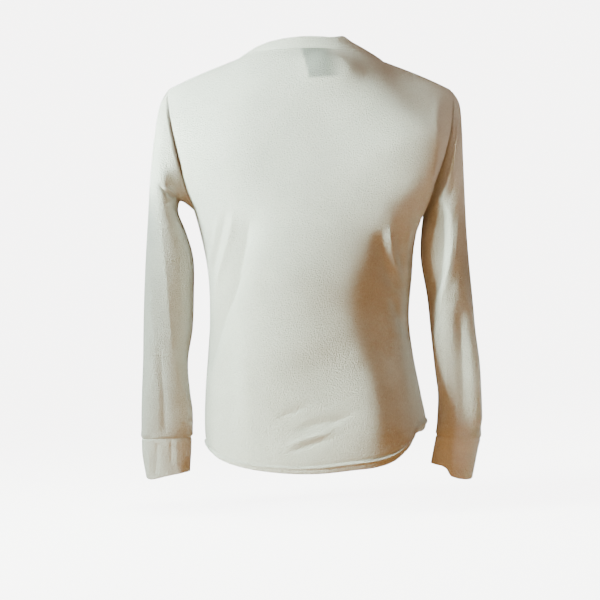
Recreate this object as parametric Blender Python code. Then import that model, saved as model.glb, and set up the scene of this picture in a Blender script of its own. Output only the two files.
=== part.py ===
"""Long-sleeved thermal base layer top, filled out as it hangs on a wearer, with no wearer in it.

The frame has +Z up. The front faces -Y, the back +Y, and the wearer's left arm is at +X. The
origin is the middle of the neck opening, at the height of the neck ends of the shoulder seams.
Each piece of cloth is a wall worked out from short tables: rings round the body, an oval for
each armhole, rings down each sleeve, and soft folds that run over the pieces.
"""

from collections import namedtuple
import math

import bmesh
import bpy
import numpy as np

# Sizes of the cloth
WALL = 0.0016
RIB_WALL = 0.0022
LABEL_WALL = 0.0010
SEAM_GAP = 0.0003

# Places that the patterns share
CHEST_Z = -0.237
BACK_NECK = (0.065, 0.0045)
FRONT_NECK = (-0.094, -0.078)
NECK_END = 45.0
NECK_DIP = 1.2
SQUARENESS = 0.030
CHEST_SOFTNESS = 0.040

# How the neck band stands up from its seam: how far it leans in and rises at its left and
# right ends, and how far it leans back and rises in the middle of the back and the front.
NECK_BAND_WIDTH = 0.019
BAND_LEAN_AT_SIDES = 0.92
BAND_RISE_AT_SIDES = (0.39, 0.20)
BAND_AT_BACK = (-0.28, 0.97)
BAND_AT_FRONT = (0.50, 0.84)

# How finely the pieces are cut
COLUMNS = 28
BODY_ROWS = 15
YOKE_ROWS = 12
SLEEVE_ROWS = 27
CUFF_ROWS = 3
BAND_ROWS = 2
LABEL_STEPS = 4
FOLD_STEPS = 24

# How the pieces are shaped between their tables: over how many sections the armhole's bow
# fades out down the sleeve, over how many rows and columns the folds fade out at a seam, how
# much of a fold is left at its ends, how sharply folds stop where the cloth turns away, and
# how far a sharp corner may be drawn in.
BOW_REACH = 3
SEAM_ROWS = 2
FOLD_END = 0.04
FOLD_FULLNESS = 0.7
FOLD_TURN = 1.6
CORNER_LIMIT = 0.4

# Rings of the body: left and right are the reach to each side, back and front the depths.
# The side seams lie behind the widest points by the seam angles, in degrees.
Ring = namedtuple("Ring", "z left right back front seam_left seam_right")
BODY = [
    Ring(-0.640, 0.1610, 0.1800, 0.121, 0.119, -8, 32),
    Ring(-0.600, 0.1625, 0.1800, 0.121, 0.119, -8, 32),
    Ring(-0.569, 0.1643, 0.1795, 0.120, 0.118, -8, 30),
    Ring(-0.522, 0.1635, 0.1705, 0.115, 0.116, -8, 24),
    Ring(-0.453, 0.1589, 0.1570, 0.106, 0.113, -8, 18),
    Ring(-0.406, 0.1561, 0.1516, 0.103, 0.112, -7, 14),
    Ring(-0.336, 0.1589, 0.1562, 0.109, 0.116, -5, 8),
    Ring(-0.290, 0.1668, 0.1597, 0.114, 0.121, -3, 4),
    Ring(CHEST_Z, 0.1800, 0.1700, 0.118, 0.125, 0, 0),
]

# Height of the curved hem, by the angle round the body from the left side over the back.
Hem = namedtuple("Hem", "angle z")
HEM = [
    Hem(-90, -0.622),
    Hem(-55, -0.617),
    Hem(-25, -0.605),
    Hem(0, -0.597),
    Hem(30, -0.6145),
    Hem(56, -0.626),
    Hem(90, -0.630),
    Hem(108, -0.6252),
    Hem(122, -0.6212),
    Hem(131, -0.6145),
    Hem(140, -0.6010),
    Hem(145, -0.5915),
    Hem(148, -0.5795),
    Hem(152, -0.5755),
    Hem(163, -0.5738),
    Hem(175, -0.5712),
    Hem(186, -0.5680),
    Hem(205, -0.5800),
    Hem(235, -0.6080),
    Hem(270, -0.622),
]

# Middle lines of back and front above the chest, as Bezier points (y, z).
BACK_MIDDLE = [(0.118, CHEST_Z), (0.123, -0.150), (0.108, -0.045), BACK_NECK]
FRONT_MIDDLE = [(-0.125, CHEST_Z), (-0.130, -0.190), (-0.114, -0.115), FRONT_NECK]

# Where each shoulder seam meets the neck, and how far the seam bows up from a straight line.
Shoulder = namedtuple("Shoulder", "neck_x neck_z bow")
SHOULDERS = {
    "left": Shoulder(0.1085, 0.0000, 0.001),
    "right": Shoulder(-0.1070, -0.0035, 0.001),
}

# Rings down the sleeves: the outer and inner points, seen from behind, and the depths. The
# first ring is the armhole. The bows push it outwards behind and in front.
Section = namedtuple("Section", "outer_x outer_z inner_x inner_z back front")
SLEEVES = {
    "left": [
        Section(0.2215, -0.050, 0.1800, CHEST_Z, 0.062, -0.062),
        Section(0.2335, -0.075, 0.1885, -0.2300, 0.066, -0.064),
        Section(0.2400, -0.112, 0.1975, -0.2235, 0.068, -0.068),
        Section(0.2450, -0.155, 0.2045, -0.2230, 0.070, -0.071),
        Section(0.2490, -0.205, 0.2062, -0.2400, 0.070, -0.073),
        Section(0.2525, -0.260, 0.1940, -0.2700, 0.067, -0.072),
        Section(0.2560, -0.315, 0.1825, -0.3120, 0.063, -0.070),
        Section(0.2585, -0.370, 0.1820, -0.3680, 0.057, -0.068),
        Section(0.2600, -0.420, 0.1840, -0.4200, 0.050, -0.066),
        Section(0.2610, -0.470, 0.1915, -0.4700, 0.043, -0.064),
        Section(0.2632, -0.520, 0.1888, -0.5200, 0.035, -0.062),
        Section(0.2645, -0.561, 0.1842, -0.5610, 0.022, -0.056),
        Section(0.2645, -0.591, 0.1863, -0.5885, 0.007, -0.047),
    ],
    "right": [
        Section(-0.2165, -0.050, -0.1700, CHEST_Z, 0.062, -0.062),
        Section(-0.2285, -0.071, -0.1732, -0.2400, 0.066, -0.064),
        Section(-0.2325, -0.108, -0.1740, -0.2445, 0.068, -0.068),
        Section(-0.2345, -0.150, -0.1735, -0.2520, 0.070, -0.071),
        Section(-0.2370, -0.205, -0.1720, -0.2640, 0.070, -0.073),
        Section(-0.2400, -0.262, -0.1705, -0.2880, 0.067, -0.072),
        Section(-0.2440, -0.312, -0.1715, -0.3180, 0.063, -0.070),
        Section(-0.2500, -0.370, -0.1808, -0.3700, 0.057, -0.068),
        Section(-0.2550, -0.420, -0.1862, -0.4200, 0.050, -0.066),
        Section(-0.2612, -0.470, -0.1918, -0.4700, 0.043, -0.064),
        Section(-0.2640, -0.520, -0.1982, -0.5200, 0.035, -0.062),
        Section(-0.2652, -0.561, -0.1972, -0.5610, 0.022, -0.056),
        Section(-0.2655, -0.590, -0.1957, -0.5855, 0.007, -0.047),
    ],
}
ARMHOLE_BOWS = {"left": (0.004, -0.003), "right": (-0.012, 0.004)}

# Below each sleeve's last ring, the cuff goes on to these rings.
CUFFS = {
    "left": [
        Section(0.2636, -0.617, 0.1872, -0.6120, 0.003, -0.047),
        Section(0.2574, -0.6495, 0.1892, -0.6420, 0.001, -0.046),
    ],
    "right": [
        Section(-0.2615, -0.610, -0.1924, -0.6060, 0.003, -0.047),
        Section(-0.2538, -0.6505, -0.1880, -0.6323, 0.001, -0.046),
    ],
}

# How far each cuff's edge hangs below its last ring, by the angle round it.
Edge = namedtuple("Edge", "angle drop")
CUFF_EDGES = {
    "left": [
        Edge(-180, 0.0),
        Edge(-60, 0.0),
        Edge(0, 0.0018),
        Edge(45, 0.0050),
        Edge(90, 0.0018),
        Edge(140, 0.0),
        Edge(180, 0.0),
    ],
    "right": [
        Edge(-180, -0.0030),
        Edge(-40, -0.0030),
        Edge(5, -0.0005),
        Edge(37, 0.0041),
        Edge(60, 0.0066),
        Edge(88, 0.0077),
        Edge(99, 0.0063),
        Edge(109, -0.0018),
        Edge(118, -0.0040),
        Edge(140, -0.0036),
        Edge(180, -0.0030),
    ],
}

# The label's corners inside the back panel, in columns from the left and rows from the neck.
LABEL_COLUMNS = (13.45, 15.2)
LABEL_ROWS = (0.12, 2.9)

# Soft folds, as Bezier points (x, z) seen from behind, with half width and height.
Fold = namedtuple("Fold", "start middle end width height")
BACK_FOLDS = [
    Fold((0.102, -0.232), (0.118, -0.330), (0.155, -0.455), 0.013, -0.0065),
    Fold((0.130, -0.225), (0.138, -0.320), (0.158, -0.430), 0.011, 0.0050),
    Fold((-0.112, -0.240), (-0.132, -0.310), (-0.142, -0.400), 0.013, 0.0055),
    Fold((-0.088, -0.240), (-0.112, -0.320), (-0.140, -0.440), 0.014, -0.0050),
    Fold((0.030, -0.598), (-0.005, -0.585), (-0.048, -0.560), 0.011, 0.0035),
]
FRONT_FOLDS = [
    Fold((0.120, -0.235), (0.135, -0.330), (0.150, -0.440), 0.013, -0.0055),
    Fold((-0.118, -0.240), (-0.132, -0.320), (-0.142, -0.420), 0.013, -0.0055),
    Fold((-0.085, -0.225), (-0.105, -0.300), (-0.135, -0.390), 0.013, 0.0045),
    Fold((0.085, -0.215), (0.110, -0.300), (0.140, -0.380), 0.012, 0.0045),
]
SLEEVE_BACK_FOLDS = [
    Fold((0.225, -0.120), (0.222, -0.330), (0.195, -0.560), 0.011, 0.0045),
    Fold((0.206, -0.245), (0.198, -0.310), (0.192, -0.350), 0.010, 0.0040),
    Fold((-0.205, -0.240), (-0.196, -0.380), (-0.204, -0.500), 0.011, 0.0045),
    Fold((-0.232, -0.220), (-0.222, -0.310), (-0.214, -0.380), 0.011, -0.0050),
]
SLEEVE_FRONT_FOLDS = [
    Fold((0.226, -0.200), (0.214, -0.330), (0.222, -0.470), 0.012, -0.0050),
    Fold((0.205, -0.330), (0.218, -0.370), (0.240, -0.390), 0.012, 0.0040),
    Fold((-0.215, -0.200), (-0.205, -0.330), (-0.222, -0.470), 0.012, -0.0050),
    Fold((-0.195, -0.330), (-0.212, -0.370), (-0.236, -0.390), 0.012, 0.0040),
]

CLOTH_COLOUR = (0.78, 0.79, 0.75, 1.0)
LABEL_COLOUR = (0.55, 0.56, 0.55, 1.0)


def smooth(knots, values, places):
    """Reads a smooth curve, which runs through the values at the knots, at each place."""
    knots = np.asarray(knots, float)
    values = np.asarray(values, float)
    slopes = np.gradient(values, knots)
    i = np.clip(np.searchsorted(knots, places, side="right") - 1, 0, len(knots) - 2)
    span = knots[i + 1] - knots[i]
    u = np.clip((places - knots[i]) / span, 0.0, 1.0)
    rise = u * u * (3 - 2 * u)
    leave = u * (1 - u) ** 2 * span
    arrive = u * u * (u - 1) * span
    level = values[i] * (1 - rise) + values[i + 1] * rise
    return level + slopes[i] * leave + slopes[i + 1] * arrive


def bezier(points, t):
    """Points of a Bezier curve at each t, with the curve's points as rows."""
    order = len(points) - 1
    t = np.asarray(t, float)[..., None]
    total = 0.0
    for k, point in enumerate(points):
        total = total + math.comb(order, k) * t**k * (1 - t) ** (order - k) * np.array(point)
    return total


def column(table, name):
    return [getattr(row, name) for row in table]


def oval(section, angles, bows=(0.0, 0.0), squareness=SQUARENESS):
    """One ring of a sleeve. Angle 0 is its outer point, 90 its back and 180 its inner point."""
    turn = np.radians(angles)
    swell = 1 + squareness * np.sin(2 * turn) ** 2
    along = np.cos(turn) * swell
    across = np.sin(turn) * swell
    bow = np.where(across > 0, bows[0], bows[1]) * np.sin(turn) ** 2
    x = (section.outer_x + section.inner_x) / 2 + along * (section.outer_x - section.inner_x) / 2
    y = (section.back + section.front) / 2 + across * (section.back - section.front) / 2
    z = (section.outer_z + section.inner_z) / 2 + along * (section.outer_z - section.inner_z) / 2
    return np.stack([x + bow, y, z], axis=-1)


def armhole(side, t, face):
    """The armhole seam from the underarm, where t is 0, to the shoulder, where t is 1."""
    return oval(SLEEVES[side][0], face * 180.0 * (1 - t), ARMHOLE_BOWS[side], 0.0)


def neck_seam(angles, face):
    """The seam of the neck band. Angle 0 is its left end on the shoulder, 180 its right end."""
    turn = np.radians(angles)
    left, right = SHOULDERS["left"], SHOULDERS["right"]
    middle = BACK_NECK if face > 0 else FRONT_NECK
    share = (1 + np.cos(turn)) / 2
    x = right.neck_x + (left.neck_x - right.neck_x) * share
    y = middle[0] * np.sin(turn)
    end_z = right.neck_z + (left.neck_z - right.neck_z) * share
    z = end_z + (middle[1] - end_z) * np.sin(turn) ** NECK_DIP
    return np.stack([x, y, z], axis=-1)


def shoulder_seam(side, along, face):
    """The shoulder seam from its outer end, where along is 0, to the neck."""
    outer = armhole(side, np.array(1.0), face)
    seam = SHOULDERS[side]
    along = np.asarray(along)[..., None]
    neck = np.array([seam.neck_x, 0.0, seam.neck_z])
    bow = np.array([0.0, 0.0, seam.bow])
    return outer + (neck - outer) * along + bow * 4 * along * (1 - along)


def top_edge(u, face):
    """Shoulder seam, neck seam and shoulder seam, as u runs from the left to the right side."""
    turn = 180.0 * u
    left = shoulder_seam("left", np.clip(turn / NECK_END, 0, 1), face)
    right = shoulder_seam("right", np.clip((180 - turn) / NECK_END, 0, 1), face)
    neck_turn = np.clip((turn - NECK_END) / (180 - 2 * NECK_END), 0, 1) * 180
    neck = neck_seam(neck_turn, face)
    line = np.where((turn < NECK_END)[..., None], left, neck)
    return np.where((turn > 180 - NECK_END)[..., None], right, line)


def hem_height(angles):
    return smooth(column(HEM, "angle"), column(HEM, "z"), angles)


def body_ring(z, u, face):
    """Points below the chest: u runs from the left side seam to the right one."""
    heights = column(BODY, "z")
    at = {name: smooth(heights, column(BODY, name), z) for name in Ring._fields[1:]}
    start = at["seam_left"]
    end = 180 - at["seam_right"]
    if face < 0:
        end = end - 360
    angles = start + (end - start) * u
    turn = np.radians(angles)
    swell = 1 + SQUARENESS * np.sin(2 * turn) ** 2
    middle = (at["left"] - at["right"]) / 2
    half = (at["left"] + at["right"]) / 2
    deep = np.where(np.sin(turn) > 0, at["back"], at["front"])
    x = middle + half * np.cos(turn) * swell
    y = deep * np.sin(turn) * swell
    return np.stack([x, y, z], axis=-1), angles


def lower_panel(v, u, face):
    """The panel from the hem, where v is 0, up to the chest, where v is 1."""
    z = np.full(np.shape(u), CHEST_Z)
    for _ in range(3):
        _, angles = body_ring(z, u, face)
        wrapped = np.where(angles < -90, angles + 360, angles)
        hem = hem_height(wrapped)
        z = hem + (CHEST_Z - hem) * v
    return body_ring(z, u, face)[0]


def upper_panel(t, u, face):
    """The panel from the chest, where t is 0, up to the shoulder and neck seams."""
    turn = np.pi * u
    left = armhole("left", t, face)
    right = armhole("right", t, face)
    line = BACK_MIDDLE if face > 0 else FRONT_MIDDLE
    middle = bezier(line, t)
    share = ((1 + np.cos(turn)) / 2)[..., None]
    side = right + (left - right) * share
    swell = 1 + SQUARENESS * np.sin(2 * turn) ** 2 * (1 - t) ** 2
    reach = np.sin(turn) * swell
    x = (left + right)[..., 0] / 2 + (left - right)[..., 0] / 2 * np.cos(turn) * swell
    y = side[..., 1] + (middle[..., 0] - side[..., 1]) * reach
    z = side[..., 2] + (middle[..., 1] - side[..., 2]) * np.sin(turn) ** 2
    ends = armhole("left", np.ones_like(t), face), armhole("right", np.ones_like(t), face)
    level = ends[1] + (ends[0] - ends[1]) * share
    level[..., 1] += (line[-1][0] - level[..., 1]) * np.sin(turn)
    level[..., 2] += (line[-1][1] - level[..., 2]) * np.sin(turn) ** 2
    pull = top_edge(u, face) - level
    x = x + pull[..., 0] * t**2
    y = y + pull[..., 1] * (1 - np.cos(t**2 * np.pi / 2))
    z = z + pull[..., 2] * np.sin(t**2 * np.pi / 2)
    return np.stack([x, y, z], axis=-1)


def panel_grid(face):
    """Rows of points from the hem to the shoulders, columns from the left to the right."""
    u = np.linspace(0.0, 1.0, COLUMNS + 1)
    rows = [lower_panel(v, u, face) for v in np.linspace(0, 1, BODY_ROWS, endpoint=False)]
    rows += [upper_panel(np.full(u.shape, t), u, face) for t in np.linspace(0, 1, YOKE_ROWS + 1)]
    return softened(np.array(rows))


def softened(rows):
    """Rounds the crease across the chest, where the lower and the upper rows meet."""
    height = np.linalg.norm(rows[BODY_ROWS] - rows[BODY_ROWS - 1], axis=1).mean()
    away = (np.arange(len(rows)) - BODY_ROWS) * height
    share = 0.5 * np.exp(-((away / CHEST_SOFTNESS) ** 2))[1:-1, None, None]
    for _ in range(round(2 * (CHEST_SOFTNESS / height) ** 2)):
        level = (rows[:-2, 1:-1] + rows[2:, 1:-1]) / 2
        rows[1:-1, 1:-1] += share * (level - rows[1:-1, 1:-1])
    return rows


def sleeve_rings(sections, amount, bows=None):
    """Rings of points down a sleeve or a cuff, read from a smooth curve through its table."""
    knots = np.arange(len(sections))
    angles = np.linspace(180, -180, 2 * YOKE_ROWS, endpoint=False)
    rings = []
    for place in np.linspace(0, len(sections) - 1, amount + 1):
        values = [smooth(knots, column(sections, name), place) for name in Section._fields]
        fade = max(0.0, 1 - place / BOW_REACH) if bows else 0.0
        bowed = np.multiply(bows or (0.0, 0.0), fade)
        rings.append(oval(Section(*values), angles, bowed, SQUARENESS * (1 - fade)))
    return np.array(rings)


def cuff_rings(side):
    """Rings of a cuff, down to its uneven edge."""
    rings = sleeve_rings([SLEEVES[side][-1], *CUFFS[side]], CUFF_ROWS)
    edge = CUFF_EDGES[side]
    angles = np.linspace(180, -180, rings.shape[1], endpoint=False)
    share = np.linspace(0, 1, rings.shape[0])[:, None] ** 2
    rings[..., 2] -= share * smooth(column(edge, "angle"), column(edge, "drop"), angles)
    return rings


def band_rings():
    """Rings of the neck band, from its seam to its upper edge."""
    count = round(COLUMNS * (1 - 2 * NECK_END / 180))
    back = np.linspace(0, 180, count, endpoint=False)
    seam = np.concatenate([neck_seam(back, 1), neck_seam(180 - back, -1)])
    turn = np.radians(np.concatenate([back, back + 180]))
    behind = np.clip(np.sin(turn), 0, None)
    before = np.clip(-np.sin(turn), 0, None)
    left = (1 + np.cos(turn)) / 2
    side_rise = BAND_RISE_AT_SIDES[1] + (BAND_RISE_AT_SIDES[0] - BAND_RISE_AT_SIDES[1]) * left
    inward = -BAND_LEAN_AT_SIDES * np.cos(turn)
    backward = BAND_AT_BACK[0] * behind + BAND_AT_FRONT[0] * before
    rise = side_rise + (BAND_AT_BACK[1] - side_rise) * behind
    rise += (BAND_AT_FRONT[1] - side_rise) * before
    lean = np.stack([inward, backward, rise], axis=-1)
    lean /= np.linalg.norm(lean, axis=-1, keepdims=True)
    heights = np.linspace(0, NECK_BAND_WIDTH, BAND_ROWS + 1)
    return np.array([seam + lean * height for height in heights])


def grid_normals(grid, closed):
    """Outward directions at the points of a grid whose rows may close to rings."""
    if closed:
        across = np.roll(grid, -1, axis=1) - np.roll(grid, 1, axis=1)
    else:
        across = np.gradient(grid, axis=1)
    normals = np.cross(across, np.gradient(grid, axis=0))
    return normals / np.linalg.norm(normals, axis=-1, keepdims=True)


def fold_heights(points, normals, folds, face):
    """How far the folds push each point out, where the cloth faces that way."""
    heights = np.zeros(points.shape[:-1])
    facing = np.clip(normals[..., 1] * face * FOLD_TURN, 0, 1)
    facing = facing * facing * (3 - 2 * facing)
    places = np.linspace(0, 1, FOLD_STEPS)
    for fold in folds:
        line = bezier([fold.start, fold.middle, fold.end], places)
        away = points[..., None, ::2] - line
        distance = np.linalg.norm(away, axis=-1)
        nearest = distance.argmin(axis=-1)
        inside = FOLD_END + (1 - 2 * FOLD_END) * places[nearest]
        taper = np.sin(np.pi * inside) ** FOLD_FULLNESS
        shape = np.exp(-((distance.min(axis=-1) / fold.width) ** 2))
        heights += fold.height * shape * taper
    return heights * facing


def edge_fade(grid, closed):
    """A weight for each point that falls to 0 at the seams, over some rows and columns."""
    steps = np.arange(grid.shape[0])
    weight = np.clip(np.minimum(steps, steps[::-1]) / SEAM_ROWS, 0, 1)[:, None]
    if closed:
        return np.broadcast_to(weight, grid.shape[:2])
    steps = np.arange(grid.shape[1])
    return weight * np.clip(np.minimum(steps, steps[::-1]) / SEAM_ROWS, 0, 1)[None, :]


def folded(grid, closed, back_folds, front_folds):
    """The grid with its folds. The seams stay where they are."""
    normals = grid_normals(grid, closed)
    heights = fold_heights(grid, normals, back_folds, 1)
    heights += fold_heights(grid, normals, front_folds, -1)
    heights *= edge_fade(grid, closed)
    return grid + normals * heights[..., None]


def shared_normals(grids):
    """Normals of all grids, where points of two pieces that meet at a seam share theirs."""
    found = {name: grid_normals(grid, closed) for name, (grid, closed) in grids.items()}
    sums = {}
    for name, (grid, _) in grids.items():
        keys = [tuple(key) for key in np.round(grid.reshape(-1, 3), 6)]
        for key, normal in zip(keys, found[name].reshape(-1, 3)):
            sums[key] = sums.get(key, 0.0) + normal
    for name, (grid, _) in grids.items():
        keys = [tuple(key) for key in np.round(grid.reshape(-1, 3), 6)]
        joined = np.array([sums[key] for key in keys]).reshape(grid.shape)
        found[name] = joined / np.linalg.norm(joined, axis=-1, keepdims=True)
    return found


def edge_loops(rows, columns, closed):
    """The places along each edge of a grid, in order, with the cloth on the left."""
    near = [(0, j) for j in range(columns)]
    far = [(rows - 1, j) for j in reversed(range(columns))]
    if closed:
        return [near, far]
    right = [(i, columns - 1) for i in range(1, rows - 1)]
    left = [(i, 0) for i in reversed(range(1, rows - 1))]
    return [near + right + far + left]


def inset(grid, normals, closed):
    """The grid with its edges moved in by half of the gap between two pieces."""
    moved = grid.copy()
    for loop in edge_loops(*grid.shape[:2], closed):
        places = tuple(np.array(loop).T)
        line = grid[places]
        ahead = np.roll(line, -1, axis=0) - line
        ahead /= np.linalg.norm(ahead, axis=1, keepdims=True)
        behind = np.roll(ahead, 1, axis=0)
        inward = np.cross(normals[places], ahead + behind)
        corner = 1 + np.sum(ahead * behind, axis=1, keepdims=True)
        moved[places] += SEAM_GAP / 2 * inward / np.maximum(corner, CORNER_LIMIT)
    return moved


def material(name, colour):
    made = bpy.data.materials.new(name)
    made.use_nodes = True
    shader = made.node_tree.nodes["Principled BSDF"]
    shader.inputs["Base Color"].default_value = colour
    shader.inputs["Roughness"].default_value = 0.85
    shader.inputs["Metallic"].default_value = 0.0
    return made


def wall(name, grid, normals, closed, thickness, finish):
    """Makes the closed solid between a grid and its copy moved in by the thickness."""
    rows, columns = grid.shape[:2]
    cloth = bmesh.new()
    sheets = []
    for points in (grid, grid - normals * thickness):
        sheets.append([[cloth.verts.new(point) for point in row] for row in points])
    steps = columns if closed else columns - 1
    for sheet, outside in zip(sheets, (True, False)):
        for i in range(rows - 1):
            for j in range(steps):
                k = (j + 1) % columns
                corners = [sheet[i][j], sheet[i][k], sheet[i + 1][k], sheet[i + 1][j]]
                cloth.faces.new(corners if outside else corners[::-1])
    outer, inner = sheets
    for loop in edge_loops(rows, columns, closed):
        for (i, j), (k, m) in zip(loop, loop[1:] + loop[:1]):
            cloth.faces.new([outer[k][m], outer[i][j], inner[i][j], inner[k][m]])
    bmesh.ops.triangulate(cloth, faces=cloth.faces)
    mesh = bpy.data.meshes.new(name)
    cloth.to_mesh(mesh)
    cloth.free()
    mesh.materials.append(finish)
    mesh.shade_smooth()
    mesh.set_sharp_from_angle(angle=math.radians(40))
    piece = bpy.data.objects.new(name, mesh)
    bpy.context.scene.collection.objects.link(piece)
    return piece


def label_grid(grid, normals):
    """Points just inside the back panel, between the label's corners."""
    rows = grid.shape[0] - 1 - np.linspace(LABEL_ROWS[1], LABEL_ROWS[0], LABEL_STEPS + 1)
    columns = np.linspace(*LABEL_COLUMNS, LABEL_STEPS + 1)
    inside = grid - normals * (WALL + SEAM_GAP)
    points = np.empty((len(rows), len(columns), 3))
    for i, row in enumerate(rows):
        for j, place in enumerate(columns):
            a, b = int(row), int(place)
            p, q = row - a, place - b
            low = inside[a, b] * (1 - q) + inside[a, b + 1] * q
            high = inside[a + 1, b] * (1 - q) + inside[a + 1, b + 1] * q
            points[i, j] = low * (1 - p) + high * p
    return points


def clear_scene():
    for item in list(bpy.data.objects):
        bpy.data.objects.remove(item, do_unlink=True)


def build():
    clear_scene()
    cloth = material("off_white_jersey", CLOTH_COLOUR)
    woven = material("woven_label", LABEL_COLOUR)
    grids = {
        "back_panel": (folded(panel_grid(1), False, BACK_FOLDS, []), False),
        "front_panel": (folded(panel_grid(-1), False, [], FRONT_FOLDS)[:, ::-1], False),
        "neck_band": (band_rings(), True),
    }
    for side, sections in SLEEVES.items():
        sleeve = sleeve_rings(sections, SLEEVE_ROWS, ARMHOLE_BOWS[side])
        cuff = cuff_rings(side)
        sleeve = folded(sleeve, True, SLEEVE_BACK_FOLDS, SLEEVE_FRONT_FOLDS)
        if side == "right":
            sleeve, cuff = sleeve[:, ::-1], cuff[:, ::-1]
        grids[f"{side}_sleeve"] = (sleeve, True)
        grids[f"{side}_cuff"] = (cuff, True)
    normals = shared_normals(grids)
    for name, (grid, closed) in grids.items():
        thickness = RIB_WALL if name.endswith(("cuff", "band")) else WALL
        edged = inset(grid, normals[name], closed)
        wall(name, edged, normals[name], closed, thickness, cloth)
    label = label_grid(grids["back_panel"][0], normals["back_panel"])
    wall("label", label, grid_normals(label, False), False, LABEL_WALL, woven)


build()
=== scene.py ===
from collections import namedtuple
import math

import bmesh
import bpy
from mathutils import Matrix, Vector
import numpy as np


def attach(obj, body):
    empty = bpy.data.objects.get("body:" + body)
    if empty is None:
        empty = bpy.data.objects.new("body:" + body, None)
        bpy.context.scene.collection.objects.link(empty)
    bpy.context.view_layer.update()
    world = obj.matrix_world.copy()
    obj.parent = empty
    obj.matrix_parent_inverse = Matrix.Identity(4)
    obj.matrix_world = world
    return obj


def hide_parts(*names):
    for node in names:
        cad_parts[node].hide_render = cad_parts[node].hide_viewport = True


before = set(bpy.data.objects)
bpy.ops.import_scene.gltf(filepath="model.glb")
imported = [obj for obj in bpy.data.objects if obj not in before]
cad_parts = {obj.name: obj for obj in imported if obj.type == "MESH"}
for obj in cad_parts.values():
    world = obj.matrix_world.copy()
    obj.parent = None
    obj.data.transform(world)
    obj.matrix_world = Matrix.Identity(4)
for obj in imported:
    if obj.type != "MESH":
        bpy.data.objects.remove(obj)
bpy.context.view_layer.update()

bl_info = {
    "name": "Thermal base layer top",
    "version": (1, 0, 0),
    "blender": (4, 5, 0),
    "location": "3D View > Sidebar > Thermal top",
    "description": "Long-sleeved knit undershirt, filled out as it is worn",
    "category": "Add Mesh",
}

MM = 0.001

# Places that the patterns share
CHEST_Z = -0.237
BACK_NECK = (0.065, 0.0045)
FRONT_NECK = (-0.094, -0.078)
NECK_END = 45.0
NECK_DIP = 1.2
SQUARENESS = 0.030
CHEST_SOFTNESS = 0.040

# How the neck band stands up from its seam: how far it leans in and rises at its left and
# right ends, and how far it leans back and rises in the middle of the back and the front.
BAND_LEAN_AT_SIDES = 0.92
BAND_RISE_AT_SIDES = (0.39, 0.20)
BAND_AT_BACK = (-0.28, 0.97)
BAND_AT_FRONT = (0.50, 0.84)

# Near its right end the band's upper edge rises to a small point: its angle, its rise as a
# share of the band, and how far it reaches to the right and to the left, in degrees.
BAND_POINT = 130.0
BAND_POINT_RISE = 0.50
BAND_POINT_REACH = (4.0, 13.0)

# How finely the cloth is cut: columns over a panel, rows in the hem, below the chest and above
# it, rows down a sleeve, a cuff and the neck band. All numbers are even, so that the wrong side
# of the cloth can have half of them.
PANEL_COLUMNS = 200
HEM_ROWS = 12
HEM_ROWS_REACH = 0.016
LOWER_ROWS = 150
UPPER_ROWS = 110
SLEEVE_ROWS = 170
CUFF_ROWS = 32
BAND_ROWS = 14
EDGE_STEPS = (0.3, 0.65)
HEM_TO_CHEST = 0.38
HEM_PASSES = 4

# Rings of the body: left and right are the reach to each side, back and front the depths.
# The side seams lie behind the widest points by the seam angles, in degrees.
Ring = namedtuple("Ring", "z left right back front seam_left seam_right")
BODY = [
    Ring(-0.640, 0.1610, 0.1800, 0.121, 0.119, -8, 32),
    Ring(-0.600, 0.1625, 0.1800, 0.121, 0.119, -8, 32),
    Ring(-0.569, 0.1643, 0.1795, 0.120, 0.118, -8, 30),
    Ring(-0.522, 0.1635, 0.1705, 0.115, 0.116, -8, 24),
    Ring(-0.453, 0.1589, 0.1570, 0.106, 0.113, -8, 18),
    Ring(-0.406, 0.1561, 0.1516, 0.103, 0.112, -7, 14),
    Ring(-0.336, 0.1589, 0.1562, 0.109, 0.116, -5, 8),
    Ring(-0.290, 0.1668, 0.1597, 0.114, 0.121, -3, 4),
    Ring(CHEST_Z, 0.1800, 0.1700, 0.118, 0.125, 0, 0),
]

# Height of the curved hem, by the angle round the body from the left side over the back.
HEM = [
    (-90, -0.622), (-55, -0.617), (-25, -0.605), (0, -0.597), (30, -0.6145), (56, -0.626),
    (90, -0.630), (108, -0.6252), (122, -0.6212), (131, -0.6145), (140, -0.6010),
    (145, -0.5915), (148, -0.5795), (152, -0.5755), (163, -0.5738), (175, -0.5712),
    (186, -0.5680), (205, -0.5800), (235, -0.6080), (270, -0.622),
]

# Middle lines of back and front above the chest, as Bezier points (y, z).
BACK_MIDDLE = [(0.118, CHEST_Z), (0.123, -0.150), (0.108, -0.045), BACK_NECK]
FRONT_MIDDLE = [(-0.125, CHEST_Z), (-0.130, -0.190), (-0.114, -0.115), FRONT_NECK]

# Where each shoulder seam meets the neck, and how far the seam bows up from a straight line.
Shoulder = namedtuple("Shoulder", "neck_x neck_z bow")
SHOULDERS = {
    "left": Shoulder(0.1085, 0.0000, 0.001),
    "right": Shoulder(-0.1070, -0.0035, 0.001),
}

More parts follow.
